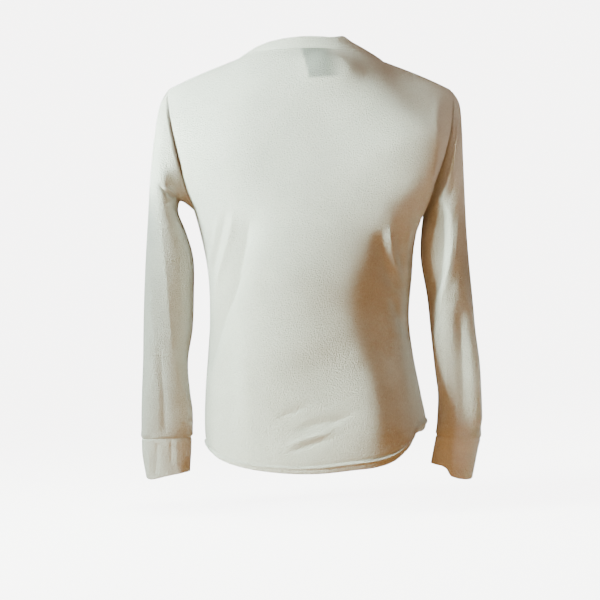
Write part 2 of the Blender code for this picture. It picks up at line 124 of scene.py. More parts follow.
# Rings down the sleeves: the outer and inner points, seen from behind, and the depths. The
# first ring is the armhole. The bows push it outwards behind and in front.
Section = namedtuple("Section", "outer_x outer_z inner_x inner_z back front")
SLEEVES = {
    "left": [
        Section(0.2215, -0.050, 0.1800, CHEST_Z, 0.062, -0.062),
        Section(0.2335, -0.075, 0.1885, -0.2300, 0.066, -0.064),
        Section(0.2400, -0.112, 0.1975, -0.2235, 0.068, -0.068),
        Section(0.2450, -0.155, 0.2045, -0.2230, 0.070, -0.071),
        Section(0.2490, -0.205, 0.2062, -0.2400, 0.070, -0.073),
        Section(0.2525, -0.260, 0.1940, -0.2700, 0.067, -0.072),
        Section(0.2560, -0.315, 0.1825, -0.3120, 0.063, -0.070),
        Section(0.2585, -0.370, 0.1820, -0.3680, 0.057, -0.068),
        Section(0.2600, -0.420, 0.1840, -0.4200, 0.050, -0.066),
        Section(0.2610, -0.470, 0.1915, -0.4700, 0.043, -0.064),
        Section(0.2632, -0.520, 0.1888, -0.5200, 0.035, -0.062),
        Section(0.2645, -0.561, 0.1842, -0.5610, 0.022, -0.056),
        Section(0.2645, -0.591, 0.1863, -0.5885, 0.007, -0.047),
    ],
    "right": [
        Section(-0.2165, -0.050, -0.1700, CHEST_Z, 0.062, -0.062),
        Section(-0.2285, -0.071, -0.1732, -0.2400, 0.066, -0.064),
        Section(-0.2325, -0.108, -0.1740, -0.2445, 0.068, -0.068),
        Section(-0.2345, -0.150, -0.1735, -0.2520, 0.070, -0.071),
        Section(-0.2370, -0.205, -0.1720, -0.2640, 0.070, -0.073),
        Section(-0.2400, -0.262, -0.1705, -0.2880, 0.067, -0.072),
        Section(-0.2440, -0.312, -0.1715, -0.3180, 0.063, -0.070),
        Section(-0.2500, -0.370, -0.1808, -0.3700, 0.057, -0.068),
        Section(-0.2550, -0.420, -0.1862, -0.4200, 0.050, -0.066),
        Section(-0.2612, -0.470, -0.1918, -0.4700, 0.043, -0.064),
        Section(-0.2640, -0.520, -0.1982, -0.5200, 0.035, -0.062),
        Section(-0.2652, -0.561, -0.1972, -0.5610, 0.022, -0.056),
        Section(-0.2655, -0.590, -0.1957, -0.5855, 0.007, -0.047),
    ],
}
ARMHOLE_BOWS = {"left": (0.004, -0.003), "right": (-0.012, 0.004)}
BOW_REACH = 3

# Below each sleeve's last ring, the cuff goes on to these rings.
CUFFS = {
    "left": [
        Section(0.2636, -0.617, 0.1872, -0.6120, 0.003, -0.047),
        Section(0.2574, -0.6495, 0.1892, -0.6420, 0.001, -0.046),
    ],
    "right": [
        Section(-0.2615, -0.610, -0.1924, -0.6060, 0.003, -0.047),
        Section(-0.2538, -0.6505, -0.1880, -0.6323, 0.001, -0.046),
    ],
}

# How far each cuff's edge hangs below its last ring, by the angle round it.
CUFF_EDGES = {
    "left": [
        (-180, 0.0), (-60, 0.0), (0, 0.0018), (45, 0.0050), (90, 0.0018), (140, 0.0),
        (180, 0.0),
    ],
    "right": [
        (-180, -0.0030), (-40, -0.0030), (5, -0.0005), (37, 0.0041), (60, 0.0066),
        (88, 0.0077), (99, 0.0063), (109, -0.0018), (118, -0.0040), (140, -0.0036),
        (180, -0.0030),
    ],
}

# How far sideways the pull of the seams above is spread, as a share of the panel's width, and
# the weights that spread it.
PULL_REACH = 0.55
PULL_SPREAD = [
    (offset, weight / 64)
    for offset, weight in zip(np.linspace(-0.5, 0.5, 7), (1, 6, 15, 20, 15, 6, 1))
]

# The label's corners inside the back panel: across from the left side, and up from the chest.
LABEL_ACROSS = (0.4804, 0.5429)
LABEL_UP = (0.7583, 0.990)
LABEL_STEPS = 20

# Painted shade: where the label lies behind the cloth, the label's shadow seen through the
# thin cloth is painted into its colour as a grey. The mask has a sharp left edge and a bottom
# edge, and fades towards the right.
PAINTED_LABEL_SHADE = "backed"
PAINTED_LABEL_SHADE_COLOUR = (0.32, 0.34, 0.33)
LABEL_SHADE_ACROSS = (0.4755, 0.5590)
LABEL_SHADE_UP = 0.71
LABEL_SHADE_SLANT = 0.0165
LABEL_SHADE_EDGES = (0.006, 0.040, 0.02)

# Folds. Each is a line of points (x, z), its half width on either side, how far it stands out,
# all in millimetres, how round its crest is, and over which shares of the line it fades in and
# out. A fold that stands out by less than nothing is a trough. Folds behind are placed as they
# look from the viewpoint, flattened onto the plane y = 0.
Fold = namedtuple("Fold", "line wide high crest ends")
VIEWPOINT = (0.01705, 2.2, -0.3751)
FOLD_STEPS = 28
FOLD_REACH = 3.2
FOLD_TURN = 2.4

# Over how many metres the folds die away towards a seam.
FORM_FADE = 0.035
PANEL_FOLD_FADE = 0.009
SLEEVE_FOLD_FADE = 0.008
CUFF_FOLD_FADE = 0.006

# The back's broad forms, which give it the shape of a wearer's back.
BACK_FORMS = [
    # edge of the right shoulder blade, down to the waist
    Fold([(-181.3, -74.4), (-200, -108.5), (-203.1, -145.7), (-184.5, -186), (-156.6, -229.4),
          (-125.5, -269.7), (-103.9, -316.2)], (55, 34), 10.5, 2, (0.2, 0.3)),
    # from there inwards and down
    Fold([(-96.1, -260.4), (-65.1, -316.2), (-51.1, -375.1), (-55.8, -437.1),
          (-83.7, -499.1)], (108, 33), 6.8, 2, (0.3, 0.3)),
    # its end at the hem
    Fold([(-63.6, -421.6), (-91.5, -499.1), (-99.2, -561.1),
          (-107, -615.4)], (51, 17), 4, 2, (0.3, 0.15)),
    # fullness of the small of the back
    Fold([(21.7, -274.4), (40.3, -336.4), (52.7, -390.6), (41.9, -452.6),
          (15.5, -514.6)], (110, 89), 11.9, 2, (0.3, 0.3)),
    # right shoulder blade
    Fold([(-130.2, -83.7), (-148.8, -124), (-142.6, -170.5),
          (-117.8, -220.1)], (96, 108), 6.1, 2, (0.4, 0.4)),
    # from the neck along the right shoulder
    Fold([(20.2, 12.4), (-29.4, -15.5), (-79, -52.7), (-128.7, -86.8), (-165.8, -120.9),
          (-190.7, -164.3)], (51, 36), 11.9, 2, (0.15, 0.3)),
    # hollow between the shoulder blades
    Fold([(-3.1, -18.6), (-7.8, -80.6), (-4.7, -158.1),
          (1.6, -243.3)], (102, 98), -12, 2, (0.3, 0.4)),
    # left of the spine, down to the hem
    Fold([(63.6, -213.9), (69.8, -282.1), (82.2, -351.9), (93, -421.6), (97.7, -506.9),
          (88.4, -599.9)], (14, 91), 11.9, 2, (0.25, 0.2)),
    # left shoulder blade
    Fold([(131.8, -96.1), (120.9, -173.6), (111.6, -243.3)], (33, 40), 5.3, 2, (0.4, 0.4)),
    # spine
    Fold([(-37.2, -80.6), (-45, -142.6), (-37.2, -204.6)], (23, 26), -1, 2, (0.4, 0.4)),
]
BACK_FOLDS = [
    # below the neck band, towards the right shoulder
    Fold([(1.6, 4.7), (-26.4, -7.8), (-54.2, -21.7), (-82.2, -41.9)], (24, 14), 5, 2, (0.25, 0.4)),
    # deep trough from the left underarm
    Fold([(94.5, -238.7), (98, -265.1), (99.2, -283.7), (103.1, -316.2), (109.3, -351.9),
          (117.8, -375.1), (127.9, -398.4), (138.7, -427.8), (148.8, -458.8),
          (159.7, -511.5)], (12, 6), -8, 1.5, (0.16, 0.25)),
    # soft ridge behind it
    Fold([(86.8, -254.2), (91.5, -316.2), (97.7, -351.9), (107, -384.4), (119.4, -427.8),
          (136.4, -465), (153.5, -505.3)], (6, 15), 2.2, 2, (0.25, 0.25)),
    # streaks between it and the left side seam
    Fold([(119.4, -227.8), (122.5, -265.1), (126.6, -289.9), (132.1, -313.1), (139.5, -348.8),
          (150.3, -387.5)], (5, 5), 4, 1.7, (0.2, 0.35)),
    Fold([(133.3, -232.5), (136.4, -265.1), (141.1, -292.9), (146.5, -322.4),
          (153.5, -353.4)], (4.5, 4.5), -3, 2, (0.2, 0.4)),
    Fold([(143.4, -238.7), (148, -279), (151.9, -316.2),
          (155.8, -350.3)], (4, 4), 2.2, 2, (0.3, 0.4)),
    Fold([(145.7, -232.5), (152.2, -261.9), (158.1, -291.4),
          (160.4, -316.2)], (4, 4), -2.2, 2, (0.3, 0.4)),
    # troughs and crests that fan out from the right underarm
    Fold([(-105.4, -260.4), (-109.3, -288.3), (-114.7, -314.7), (-124, -341),
          (-134.8, -365.8)], (11, 5), -4, 1.6, (0.25, 0.3)),
    Fold([(-117, -254.2), (-120.1, -282.1), (-125.5, -306.9), (-133.3, -330.2),
          (-141.1, -356.5)], (5, 5), 3.6, 1.5, (0.2, 0.35)),
    Fold([(-129.4, -254.2), (-133.9, -286.8), (-138.7, -313.1),
          (-142.6, -344.1)], (4, 4), -2.4, 1.8, (0.2, 0.35)),
    Fold([(-147.2, -241.8), (-145.7, -268.2), (-145.4, -294.5), (-146.6, -325.5),
          (-148.8, -368.9)], (3.5, 4), 3, 1.5, (0.2, 0.3)),
    Fold([(-155.8, -224.8), (-152.7, -249.6), (-150.7, -279)], (3, 3.5), -2.2, 1.8, (0.3, 0.4)),
    Fold([(-125.5, -244.9), (-132.5, -260.4), (-139.5, -277.4)], (3, 3), -1.2, 2, (0.3, 0.4)),
    # ridge and trough at the right of the waist
    Fold([(-108.5, -375.1), (-124, -406.1), (-133.3, -432.4), (-138, -468.1), (-142.6, -505.3),
          (-151.9, -542.5)], (15, 9), 2.4, 2, (0.3, 0.3)),
    Fold([(-119.4, -350.3), (-132.5, -387.5), (-144.2, -416.9),
          (-155, -452.6)], (7, 5), -2.2, 2, (0.3, 0.4)),
    # drags above the hem
    Fold([(60.5, -562.6), (32.6, -551.8), (-1.6, -536.3)], (5, 6), -2.4, 2, (0.4, 0.4)),
    Fold([(29.4, -581.2), (-10.8, -567.3), (-38.8, -562.6),
          (-76, -544.1)], (6, 6), -3.6, 1.7, (0.35, 0.4)),
    Fold([(41.9, -603), (17.1, -594.4), (-7.8, -587.1),
          (-41.9, -576.6)], (4, 5), 3.4, 1.6, (0.3, 0.4)),
    Fold([(41.9, -613.8), (17.1, -605.7), (-7.8, -598),
          (-41.9, -587.1)], (4, 4), -3, 1.6, (0.3, 0.4)),
    # crease down the middle, below the label
    Fold([(12.4, -34.1), (12.4, -80.6), (12.4, -136.4)], (3, 3), -0.5, 2, (0.4, 0.4)),
    # pucker at the left armhole seam
    Fold([(201.5, -108.5), (205.2, -117.8), (206.2, -128.7)], (2, 2), 0.9, 1.5, (0.4, 0.4)),
]
SLEEVE_BACK_FOLDS = {
    "left": [
        # ridge above the cuff, at the inner side
        Fold([(198.4, -444.9), (193.8, -483.6), (189.1, -530.1),
              (187.6, -582.8)], (14, 4), 4.5, 2, (0.3, 0.15)),
        # main ridge, down from the pinch
        Fold([(227.8, -195.3), (220.1, -220.1), (210.8, -249.6), (200, -279), (189.1, -310),
              (179.8, -347.2)], (9, 9), 2.6, 1.6, (0.2, 0.3)),
        # pinch at the underarm, and its crest
        Fold([(244.9, -189.1), (231, -201.5), (217, -213.1),
              (198.4, -223.2)], (3.2, 4.5), -4.8, 1.6, (0.35, 0.25)),
        Fold([(234.1, -193.8), (218.6, -206.2),
              (200, -216.2)], (2.6, 2.6), 3.2, 1.5, (0.35, 0.25)),
        # long crease down to the cuff
        Fold([(240.7, -186), (234.1, -220.1), (231.3, -265.1), (226.9, -311.6), (223.4, -351.9),
              (219.2, -409.2), (214.2, -452.6), (208.3, -485.2), (200, -516.1), (190.7, -542.5),
              (184.5, -562.6)], (9, 5), 2.4, 1.3, (0.35, 0.1)),
        # trough beside its lower half
        Fold([(236.4, -429.4), (233.3, -468.1), (229.4, -522.4),
              (226.3, -589)], (6, 7), -3.2, 1.8, (0.3, 0.15)),
        # trough and crease in the sleeve's head
        Fold([(234.1, -102.3), (227.1, -127.1), (225.5, -153.5),
              (227.8, -182.9)], (5, 4), -0.7, 1.8, (0.3, 0.35)),
        Fold([(224, -49.6), (233.3, -68.2), (237.2, -96.1),
              (241, -127.1)], (2.5, 3), 1.2, 1.5, (0.3, 0.4)),
        # fullness beside the armhole, and the trough at its seam
        Fold([(212.3, -58.9), (203.1, -111.6), (201.5, -158.1),
              (207.7, -201.5)], (26, 8), 6.5, 2, (0.3, 0.3)),
        Fold([(203.1, -124), (194.5, -164.3), (183.7, -213.9)], (3.2, 3), -3, 1.6, (0.3, 0.1)),
        # outer ridge
        Fold([(248, -243.3), (248.8, -313.1), (246.5, -390.6),
              (244.9, -468.1)], (6, 5), 1.6, 2, (0.4, 0.4)),
    ],
    "right": [
        # ridge beside the underarm
        Fold([(-173.6, -238.7), (-182.9, -279), (-186, -325.5),
              (-182.9, -368.9)], (8, 7), 4, 2, (0.3, 0.35)),
        # trough from the underarm to the elbow
        Fold([(-199.1, -213.9), (-205.2, -260.4), (-200.6, -310), (-191.3, -356.5),
              (-183.6, -396.8)], (16, 6.5), -12, 2, (0.2, 0.35)),
        # crest beside it
        Fold([(-226.3, -238.7), (-219.3, -282.1), (-213.1, -322.4), (-204.6, -372),
              (-200, -409.2)], (5, 8), 5, 1.8, (0.45, 0.3)),
        # ridge below the elbow
        Fold([(-207.7, -359.6), (-201.5, -398.4), (-196.8, -437.1), (-200, -496),
              (-207.7, -548.7)], (8, 20), 7, 2, (0.45, 0.25)),
        # thin line from the shoulder to the elbow
        Fold([(-230.2, -158.1), (-229.9, -204.6), (-226.3, -254.2), (-223.2, -297.6),
              (-215.5, -359.6)], (2, 2.5), 1.6, 1.5, (0.35, 0.35)),
        # long trough down the outer half
        Fold([(-240.2, -336.4), (-238.7, -382.9), (-237.2, -437.1), (-237.2, -514.6),
              (-235.6, -576.6)], (25, 12), -10.5, 2, (0.35, 0.2)),
        # ridge at the outer edge
        Fold([(-251.1, -344.1), (-258.9, -398.4), (-263.5, -452.6), (-264.3, -522.4),
              (-261.9, -582.8)], (14, 6), 6, 2, (0.2, 0.12)),
        # thin line above the cuff
        Fold([(-209.9, -474.3), (-212.3, -514.6),
              (-216.7, -561.1)], (2.5, 2.5), 1.4, 1.5, (0.3, 0.3)),
        # troughs and ridges along the armhole
        Fold([(-220.9, -105.4), (-211.6, -142.6), (-200.7, -170.5), (-189.9, -201.5),
              (-175.2, -240.2)], (3, 5), -2.6, 1.5, (0.3, 0.2)),
        Fold([(-229.4, -80.6), (-226.8, -116.2), (-221.7, -151.9), (-212.3, -192.2),
              (-198.4, -234.1)], (3.5, 3.5), 2.2, 1.5, (0.2, 0.2)),
        Fold([(-232.5, -119.4), (-228.6, -161.2), (-218.6, -204.6),
              (-209.2, -235.6)], (3, 3), -1.6, 1.8, (0.3, 0.3)),
        Fold([(-236.4, -142.6), (-232.5, -182.9), (-226.3, -220.1),
              (-220.1, -251.1)], (3, 3), 1.6, 1.5, (0.3, 0.3)),
    ],
}
CUFF_FOLDS = [
    # left cuff
    Fold([(251.9, -601.4), (251.1, -626.2), (251.9, -654.1)], (3, 3), 1.2, 1.7, (0.2, 0.2)),
    Fold([(237.9, -595.2), (239.5, -620), (241, -647.9)], (4, 5), -2, 1.8, (0.1, 0.15)),
    Fold([(216.2, -585.9), (216.7, -610.7), (217.3, -635.5)], (2, 2), -0.9, 1.5, (0.1, 0.3)),
    Fold([(207.7, -589), (208.5, -610.7), (209.2, -638.6)], (4, 4), 0.9, 2, (0.15, 0.2)),
    # right cuff
    Fold([(-206.9, -599.9), (-208.9, -613.8), (-211.7, -630.9)], (3, 3), -1.5, 1.6, (0.2, 0.3)),
    Fold([(-218.6, -595.2), (-218.6, -615.4), (-219.3, -638.6)], (4, 4), 1.2, 2, (0.2, 0.3)),
    Fold([(-236.4, -632.4), (-239.5, -641.7), (-241.5, -651)], (2, 2), -1, 1.6, (0.3, 0.3)),
]
FRONT_FOLDS = [
    # below the left underarm
    Fold([(120, -235), (133, -300), (143, -370), (150, -440)], (13, 9), -5, 1.7, (0.2, 0.3)),
    Fold([(105, -228), (120, -290), (134, -350), (146, -410)], (8, 10), 2.4, 1.8, (0.25, 0.35)),
    Fold([(85, -215), (104, -280), (124, -340), (140, -380)], (12, 12), 4, 2, (0.25, 0.35)),
    # below the right underarm
    Fold([(-118, -240), (-131, -300), (-138, -360), (-142, -420)], (9, 12), -5, 1.6, (0.2, 0.3)),
    Fold([(-100, -232), (-118, -300), (-130, -350)], (7, 6), 2.6, 1.7, (0.25, 0.35)),
    Fold([(-85, -225), (-103, -290), (-122, -350), (-135, -390)], (13, 11), 4, 2, (0.25, 0.35)),
    # drags above the hem
    Fold([(-60, -560), (-20, -576), (25, -580), (60, -570)], (8, 6), 1.8, 1.8, (0.4, 0.4)),
    Fold([(-75, -580), (-30, -594), (20, -598)], (5, 6), -1.6, 1.8, (0.4, 0.4)),
    # beside the middle of the chest
    Fold([(30, -120), (46, -170), (52, -215)], (9, 8), -1.6, 2, (0.4, 0.5)),
    Fold([(-34, -118), (-47, -160), (-50, -200)], (8, 9), -1.3, 2, (0.4, 0.5)),
]
SLEEVE_FRONT_FOLDS = {
    "left": [
        # long trough
        Fold([(226, -200), (217, -290), (215, -380), (222, -470)], (12, 9), -4.6, 1.7, (0.2, 0.3)),
        # at the elbow
        Fold([(205, -325), (216, -362), (240, -388)], (9, 8), 3.6, 1.7, (0.3, 0.3)),
        Fold([(200, -345), (214, -384), (238, -412)], (6, 6), -2.4, 1.7, (0.3, 0.3)),
        # along the outer side
        Fold([(236, -230), (234, -310), (236, -400)], (7, 7), 2.6, 1.8, (0.3, 0.3)),
        # above the cuff
        Fold([(214, -470), (219, -520), (222, -575)], (7, 7), 2.2, 1.8, (0.3, 0.2)),
        # below the underarm
        Fold([(205, -180), (213, -215), (224, -250)], (6, 8), -2.4, 1.8, (0.3, 0.4)),
    ],
    "right": [
        # long trough
        Fold([(-215, -200), (-205, -290), (-208, -380),
              (-222, -470)], (9, 12), -4.6, 1.7, (0.2, 0.3)),
        # at the elbow
        Fold([(-195, -325), (-208, -362), (-236, -386)], (8, 9), 3.6, 1.7, (0.3, 0.3)),
        Fold([(-192, -350), (-212, -388), (-234, -408)], (6, 6), -2.4, 1.7, (0.3, 0.3)),
        # along the outer side
        Fold([(-232, -230), (-229, -310), (-236, -400)], (7, 7), 2.6, 1.8, (0.3, 0.3)),
        # above the cuff
        Fold([(-216, -470), (-222, -520), (-226, -575)], (7, 7), 2.2, 1.8, (0.3, 0.2)),
        # below the underarm
        Fold([(-190, -190), (-202, -222), (-214, -256)], (8, 6), -2.4, 1.8, (0.3, 0.4)),
    ],
}

# The groove beside each seam: its depth, its half width and the height of the puckers that the
# stitches draw in beside it, in metres.
Groove = namedtuple("Groove", "dip wide pucker")
SIDE_SEAM = Groove(0.0008, 0.0018, 0.0003)
UPPER_SEAM = Groove(0.0010, 0.0018, 0.0003)
ARMHOLE_SEAM = Groove(0.0034, 0.0018, 0.0003)
CUFF_SEAM_ABOVE = Groove(0.0009, 0.0022, 0.0004)
CUFF_SEAM_BELOW = Groove(0.0013, 0.0024, 0.0004)
BAND_SEAM = Groove(0.0005, 0.0016, 0.0003)
PUCKER_PITCH = 0.011
PUCKER_REACH = 0.006
PUCKER_GAP = 0.0012

# Ridges, and grooves where they stand out by less than nothing, that run along a seam or a
# hem's stitches: how far from it, half width and height.
Ridge = namedtuple("Ridge", "away wide high")
NECK_RIDGE = Ridge(0.0024, 0.0017, 0.0012)
NECK_RIDGE_SPAN = (0.27, 0.73)
NECK_RIDGE_FADE = 0.10
HEM_RIDGES = (
    Ridge(0.0, 0.0019, 0.0020),
    Ridge(0.0040, 0.0020, -0.0014),
    Ridge(-0.0028, 0.0012, -0.0012),
)
BAND_GROOVE = Ridge(0.0032, 0.0008, -0.0004)

# Ripples of the free edges: from crest to crest, height, and how far in they reach.
Ripple = namedtuple("Ripple", "pitch high reach")
HEM_RIPPLE = Ripple(0.014, 0.0004, 0.010)
CUFF_RIPPLE = Ripple(0.016, 0.0004, 0.008)
BAND_RIPPLE = Ripple(0.028, 0.0003, 0.008)

# The hem's turned-up layer, how its edge curls in, how a sleeve bulges over its cuff, the
# cuff's own unevenness, and how the neck band swells between its edges.
HEM_LAYER = 0.0010
HEM_LAYER_EDGE = 0.0012
HEM_CURL = 1.3
BLOUSE_EVEN = 0.62
BLOUSE_PITCH = 0.050
BLOUSE_REACH = (0.004, 0.011)
CUFF_WAVE = (0.034, 0.0005, 0.02)
BAND_SWELL = 0.0007

# The even ripples that make up an uneven one: height, how often they come, and their shift.
WAVES = ((1.0, 1.0, 1.0), (0.7, 0.62, 2.3), (0.5, 1.57, 4.1))

# Where the ripples of each piece begin, so that no two are alike.
PHASES = {
    "back_panel": 1.0,
    "front_panel": 2.7,
    "left_sleeve": 0.6,
    "right_sleeve": 4.4,
    "left_cuff": 3.3,
    "right_cuff": 5.2,
    "neck_band": 1.4,
}

# Edges of the cloth: points round a folded edge, the angle past which an edge stays sharp, and
# a limit to how far the corner of a piece moves in when its edges do.
RIM_STEPS = 3
SHARP_ANGLE = 55.0
CORNER_LIMIT = 0.4

# The label lies this far inside the back, and is this thick.
LABEL_INSET = 0.0006
LABEL_THICKNESS = 0.0007

# Stitches: the hem's two rows are this far apart, and the neck's row this far above its seam.
# Half of a stitch lies flat. Each end goes down in two bends, by these shares of the thread's
# radius, and thins at each. A stitch is lifted by a share of that radius too.
HEM_ROW_GAP = 0.0030
NECK_ROW_UP = 0.0032
STITCH_FLAT = 0.5
STITCH_DROPS = (0.35, 1.6)
STITCH_BEND = 0.125
STITCH_TAPER = 0.8
STITCH_LIFT = 0.35


class TopSizes(bpy.types.PropertyGroup):
    """Sizes of the cloth and its sewing."""

    jersey: bpy.props.FloatProperty(
        name="Jersey", description="Thickness of the knit cloth", default=0.0013, unit="LENGTH"
    )
    rib: bpy.props.FloatProperty(
        name="Rib", description="Thickness of the double rib", default=0.0020, unit="LENGTH"
    )
    seam_gap: bpy.props.FloatProperty(
        name="Seam gap",
        description="Space between two pieces at a seam",
        default=0.0002,
        precision=5,
        unit="LENGTH",
    )
    band: bpy.props.FloatProperty(
        name="Neck band", description="Width of the neck band", default=0.019, unit="LENGTH"
    )
    hem_left: bpy.props.FloatProperty(
        name="Hem at the left",
        description="Width of the turned-up hem at the left side seam",
        default=0.0048,
        unit="LENGTH",
    )
    hem_right: bpy.props.FloatProperty(
        name="Hem at the right",
        description="Width of the turned-up hem at the right side seam",
        default=0.0105,
        unit="LENGTH",
    )
    hem_lean: bpy.props.FloatProperty(
        name="Hem lean",
        description="How far the hem's edge is drawn in below its stitches",
        default=0.0034,
        unit="LENGTH",
    )
    blouse: bpy.props.FloatProperty(
        name="Blouse",
        description="How far a sleeve bulges over its cuff",
        default=0.0022,
        unit="LENGTH",
    )
    stitch: bpy.props.FloatProperty(
        name="Stitch", description="Length of one stitch", default=0.0026, unit="LENGTH"
    )
    stitch_step: bpy.props.FloatProperty(
        name="Stitch step",
        description="From the start of one stitch to the next",
        default=0.0036,
        unit="LENGTH",
    )
    thread: bpy.props.FloatProperty(
        name="Thread", description="Radius of the thread", default=0.00036, unit="LENGTH"
    )


class TopColours(bpy.types.PropertyGroup):
    """Colours of the cloth and the room."""

    jersey: bpy.props.FloatVectorProperty(
        name="Jersey",
        description="Colour of the knit cloth",
        default=(0.80, 0.81, 0.77),
        subtype="COLOR",
        min=0,
        max=1,
    )
    rib: bpy.props.FloatVectorProperty(
        name="Rib",
        description="Colour of the cuffs and the neck band",
        default=(0.80, 0.81, 0.77),
        subtype="COLOR",
        min=0,
        max=1,
    )
    thread: bpy.props.FloatVectorProperty(
        name="Thread",
        description="Colour of the stitches",
        default=(0.84, 0.84, 0.80),
        subtype="COLOR",
        min=0,
        max=1,
    )
    label: bpy.props.FloatVectorProperty(
        name="Label",
        description="Colour of the woven label",
        default=(0.40, 0.42, 0.42),
        subtype="COLOR",
        min=0,
        max=1,
    )
    floor: bpy.props.FloatVectorProperty(
        name="Floor",
        description="Colour of the floor and the wall behind",
        default=(0.93, 0.93, 0.93),
        subtype="COLOR",
        min=0,
        max=1,
    )


def smooth(knots, values, places):
    """Reads a smooth curve, which runs through the values at the knots, at each place."""
    knots = np.asarray(knots, float)
    values = np.asarray(values, float)
    slopes = np.gradient(values, knots)
    i = np.clip(np.searchsorted(knots, places, side="right") - 1, 0, len(knots) - 2)
    span = knots[i + 1] - knots[i]
    u = np.clip((places - knots[i]) / span, 0.0, 1.0)
    rise = u * u * (3 - 2 * u)
    leave = u * (1 - u) ** 2 * span
    arrive = u * u * (u - 1) * span
    level = values[i] * (1 - rise) + values[i + 1] * rise
    return level + slopes[i] * leave + slopes[i + 1] * arrive


def bezier(points, t):
    """Points of a Bezier curve at each t, with the curve's points as rows."""
    order = len(points) - 1
    t = np.asarray(t, float)[..., None]
    total = 0.0
    for k, point in enumerate(points):
        total = total + math.comb(order, k) * t**k * (1 - t) ** (order - k) * np.array(point)
    return total


def ease(share):
    """Goes softly from 0 to 1 as the share does."""
    share = np.clip(share, 0.0, 1.0)
    return share * share * (3 - 2 * share)


def column(table, place):
    """One column of a table, by its number or its name."""
    return [row[place] if isinstance(place, int) else getattr(row, place) for row in table]


def oval(section, angles, bows=(0.0, 0.0), squareness=SQUARENESS):
    """One ring of a sleeve. Angle 0 is its outer point, 90 its back and 180 its inner point."""
    turn = np.radians(angles)
    swell = 1 + squareness * np.sin(2 * turn) ** 2
    along = np.cos(turn) * swell
    across = np.sin(turn) * swell
    bow = np.where(across > 0, bows[0], bows[1]) * np.sin(turn) ** 2
    x = (section.outer_x + section.inner_x) / 2 + along * (section.outer_x - section.inner_x) / 2
    y = (section.back + section.front) / 2 + across * (section.back - section.front) / 2
    z = (section.outer_z + section.inner_z) / 2 + along * (section.outer_z - section.inner_z) / 2
    return np.stack([x + bow, y, z], axis=-1)


def armhole(side, t, face):
    """The armhole seam from the underarm, where t is 0, to the shoulder, where t is 1."""
    return oval(SLEEVES[side][0], face * 180.0 * (1 - t), ARMHOLE_BOWS[side], 0.0)


def neck_seam(angles, face):
    """The seam of the neck band. Angle 0 is its left end on the shoulder, 180 its right end."""
    turn = np.radians(angles)
    left, right = SHOULDERS["left"], SHOULDERS["right"]
    middle = BACK_NECK if face > 0 else FRONT_NECK
    share = (1 + np.cos(turn)) / 2
    x = right.neck_x + (left.neck_x - right.neck_x) * share
    y = middle[0] * np.sin(turn)
    end_z = right.neck_z + (left.neck_z - right.neck_z) * share
    z = end_z + (middle[1] - end_z) * np.abs(np.sin(turn)) ** NECK_DIP
    return np.stack([x, y, z], axis=-1)


def shoulder_seam(side, along, face):
    """The shoulder seam from its outer end, where along is 0, to the neck."""
    outer = armhole(side, np.array(1.0), face)
    seam = SHOULDERS[side]
    along = np.asarray(along)[..., None]
    neck = np.array([seam.neck_x, 0.0, seam.neck_z])
    bow = np.array([0.0, 0.0, seam.bow])
    return outer + (neck - outer) * along + bow * 4 * along * (1 - along)


def top_edge(u, face):
    """Shoulder seam, neck seam and shoulder seam, as u runs from the left to the right side."""
    turn = 180.0 * u
    left = shoulder_seam("left", np.clip(turn / NECK_END, 0, 1), face)
    right = shoulder_seam("right", np.clip((180 - turn) / NECK_END, 0, 1), face)
    neck_turn = np.clip((turn - NECK_END) / (180 - 2 * NECK_END), 0, 1) * 180
    neck = neck_seam(neck_turn, face)
    line = np.where((turn < NECK_END)[..., None], left, neck)
    return np.where((turn > 180 - NECK_END)[..., None], right, line)


def body_ring(z, u, face):
    """Points below the chest: u runs from the left side seam to the right one."""
    heights = column(BODY, "z")
    at = {name: smooth(heights, column(BODY, name), z) for name in Ring._fields[1:]}
    start = at["seam_left"]
    end = 180 - at["seam_right"]
    if face < 0:
        end = end - 360
    angles = start + (end - start) * u
    turn = np.radians(angles)
    swell = 1 + SQUARENESS * np.sin(2 * turn) ** 2
    middle = (at["left"] - at["right"]) / 2
    half = (at["left"] + at["right"]) / 2
    deep = np.where(np.sin(turn) > 0, at["back"], at["front"])
    x = middle + half * np.cos(turn) * swell
    y = deep * np.sin(turn) * swell
    return np.stack([x, y, z], axis=-1), angles


def lower_panel(v, u, face):
    """The panel from the hem, where v is 0, up to the chest, where v is 1."""
    z = np.full(np.shape(u), CHEST_Z)
    for _ in range(HEM_PASSES):
        _, angles = body_ring(z, u, face)
        wrapped = np.where(angles < -90, angles + 360, angles)
        hem = smooth(column(HEM, 0), column(HEM, 1), wrapped)
        z = hem + (CHEST_Z - hem) * v
    return body_ring(z, u, face)[0]


def soft_pull(t, u, ends, middle, face):
    """How far the seams above pull each point of the upper panel from an even dome.

    Away from the neck's corners the pull is spread sideways, so that no crease runs down
    from them.
    """
    total = 0.0
    for offset, weight in PULL_SPREAD:
        place = u + offset * PULL_REACH * (1 - t)
        inside = np.clip(np.where(place < 0, -place, np.where(place > 1, 2 - place, place)), 0, 1)
        outside = ((place < 0) | (place > 1))[..., None]
        turn = np.pi * inside
        share = ((1 + np.cos(turn)) / 2)[..., None]
        level = ends[1] + (ends[0] - ends[1]) * share
        level[..., 1] += (middle[0] - level[..., 1]) * np.sin(turn)
        level[..., 2] += (middle[1] - level[..., 2]) * np.sin(turn) ** 2
        pull = top_edge(inside, face) - level
        total = total + weight * np.where(outside, -pull, pull)
    return total


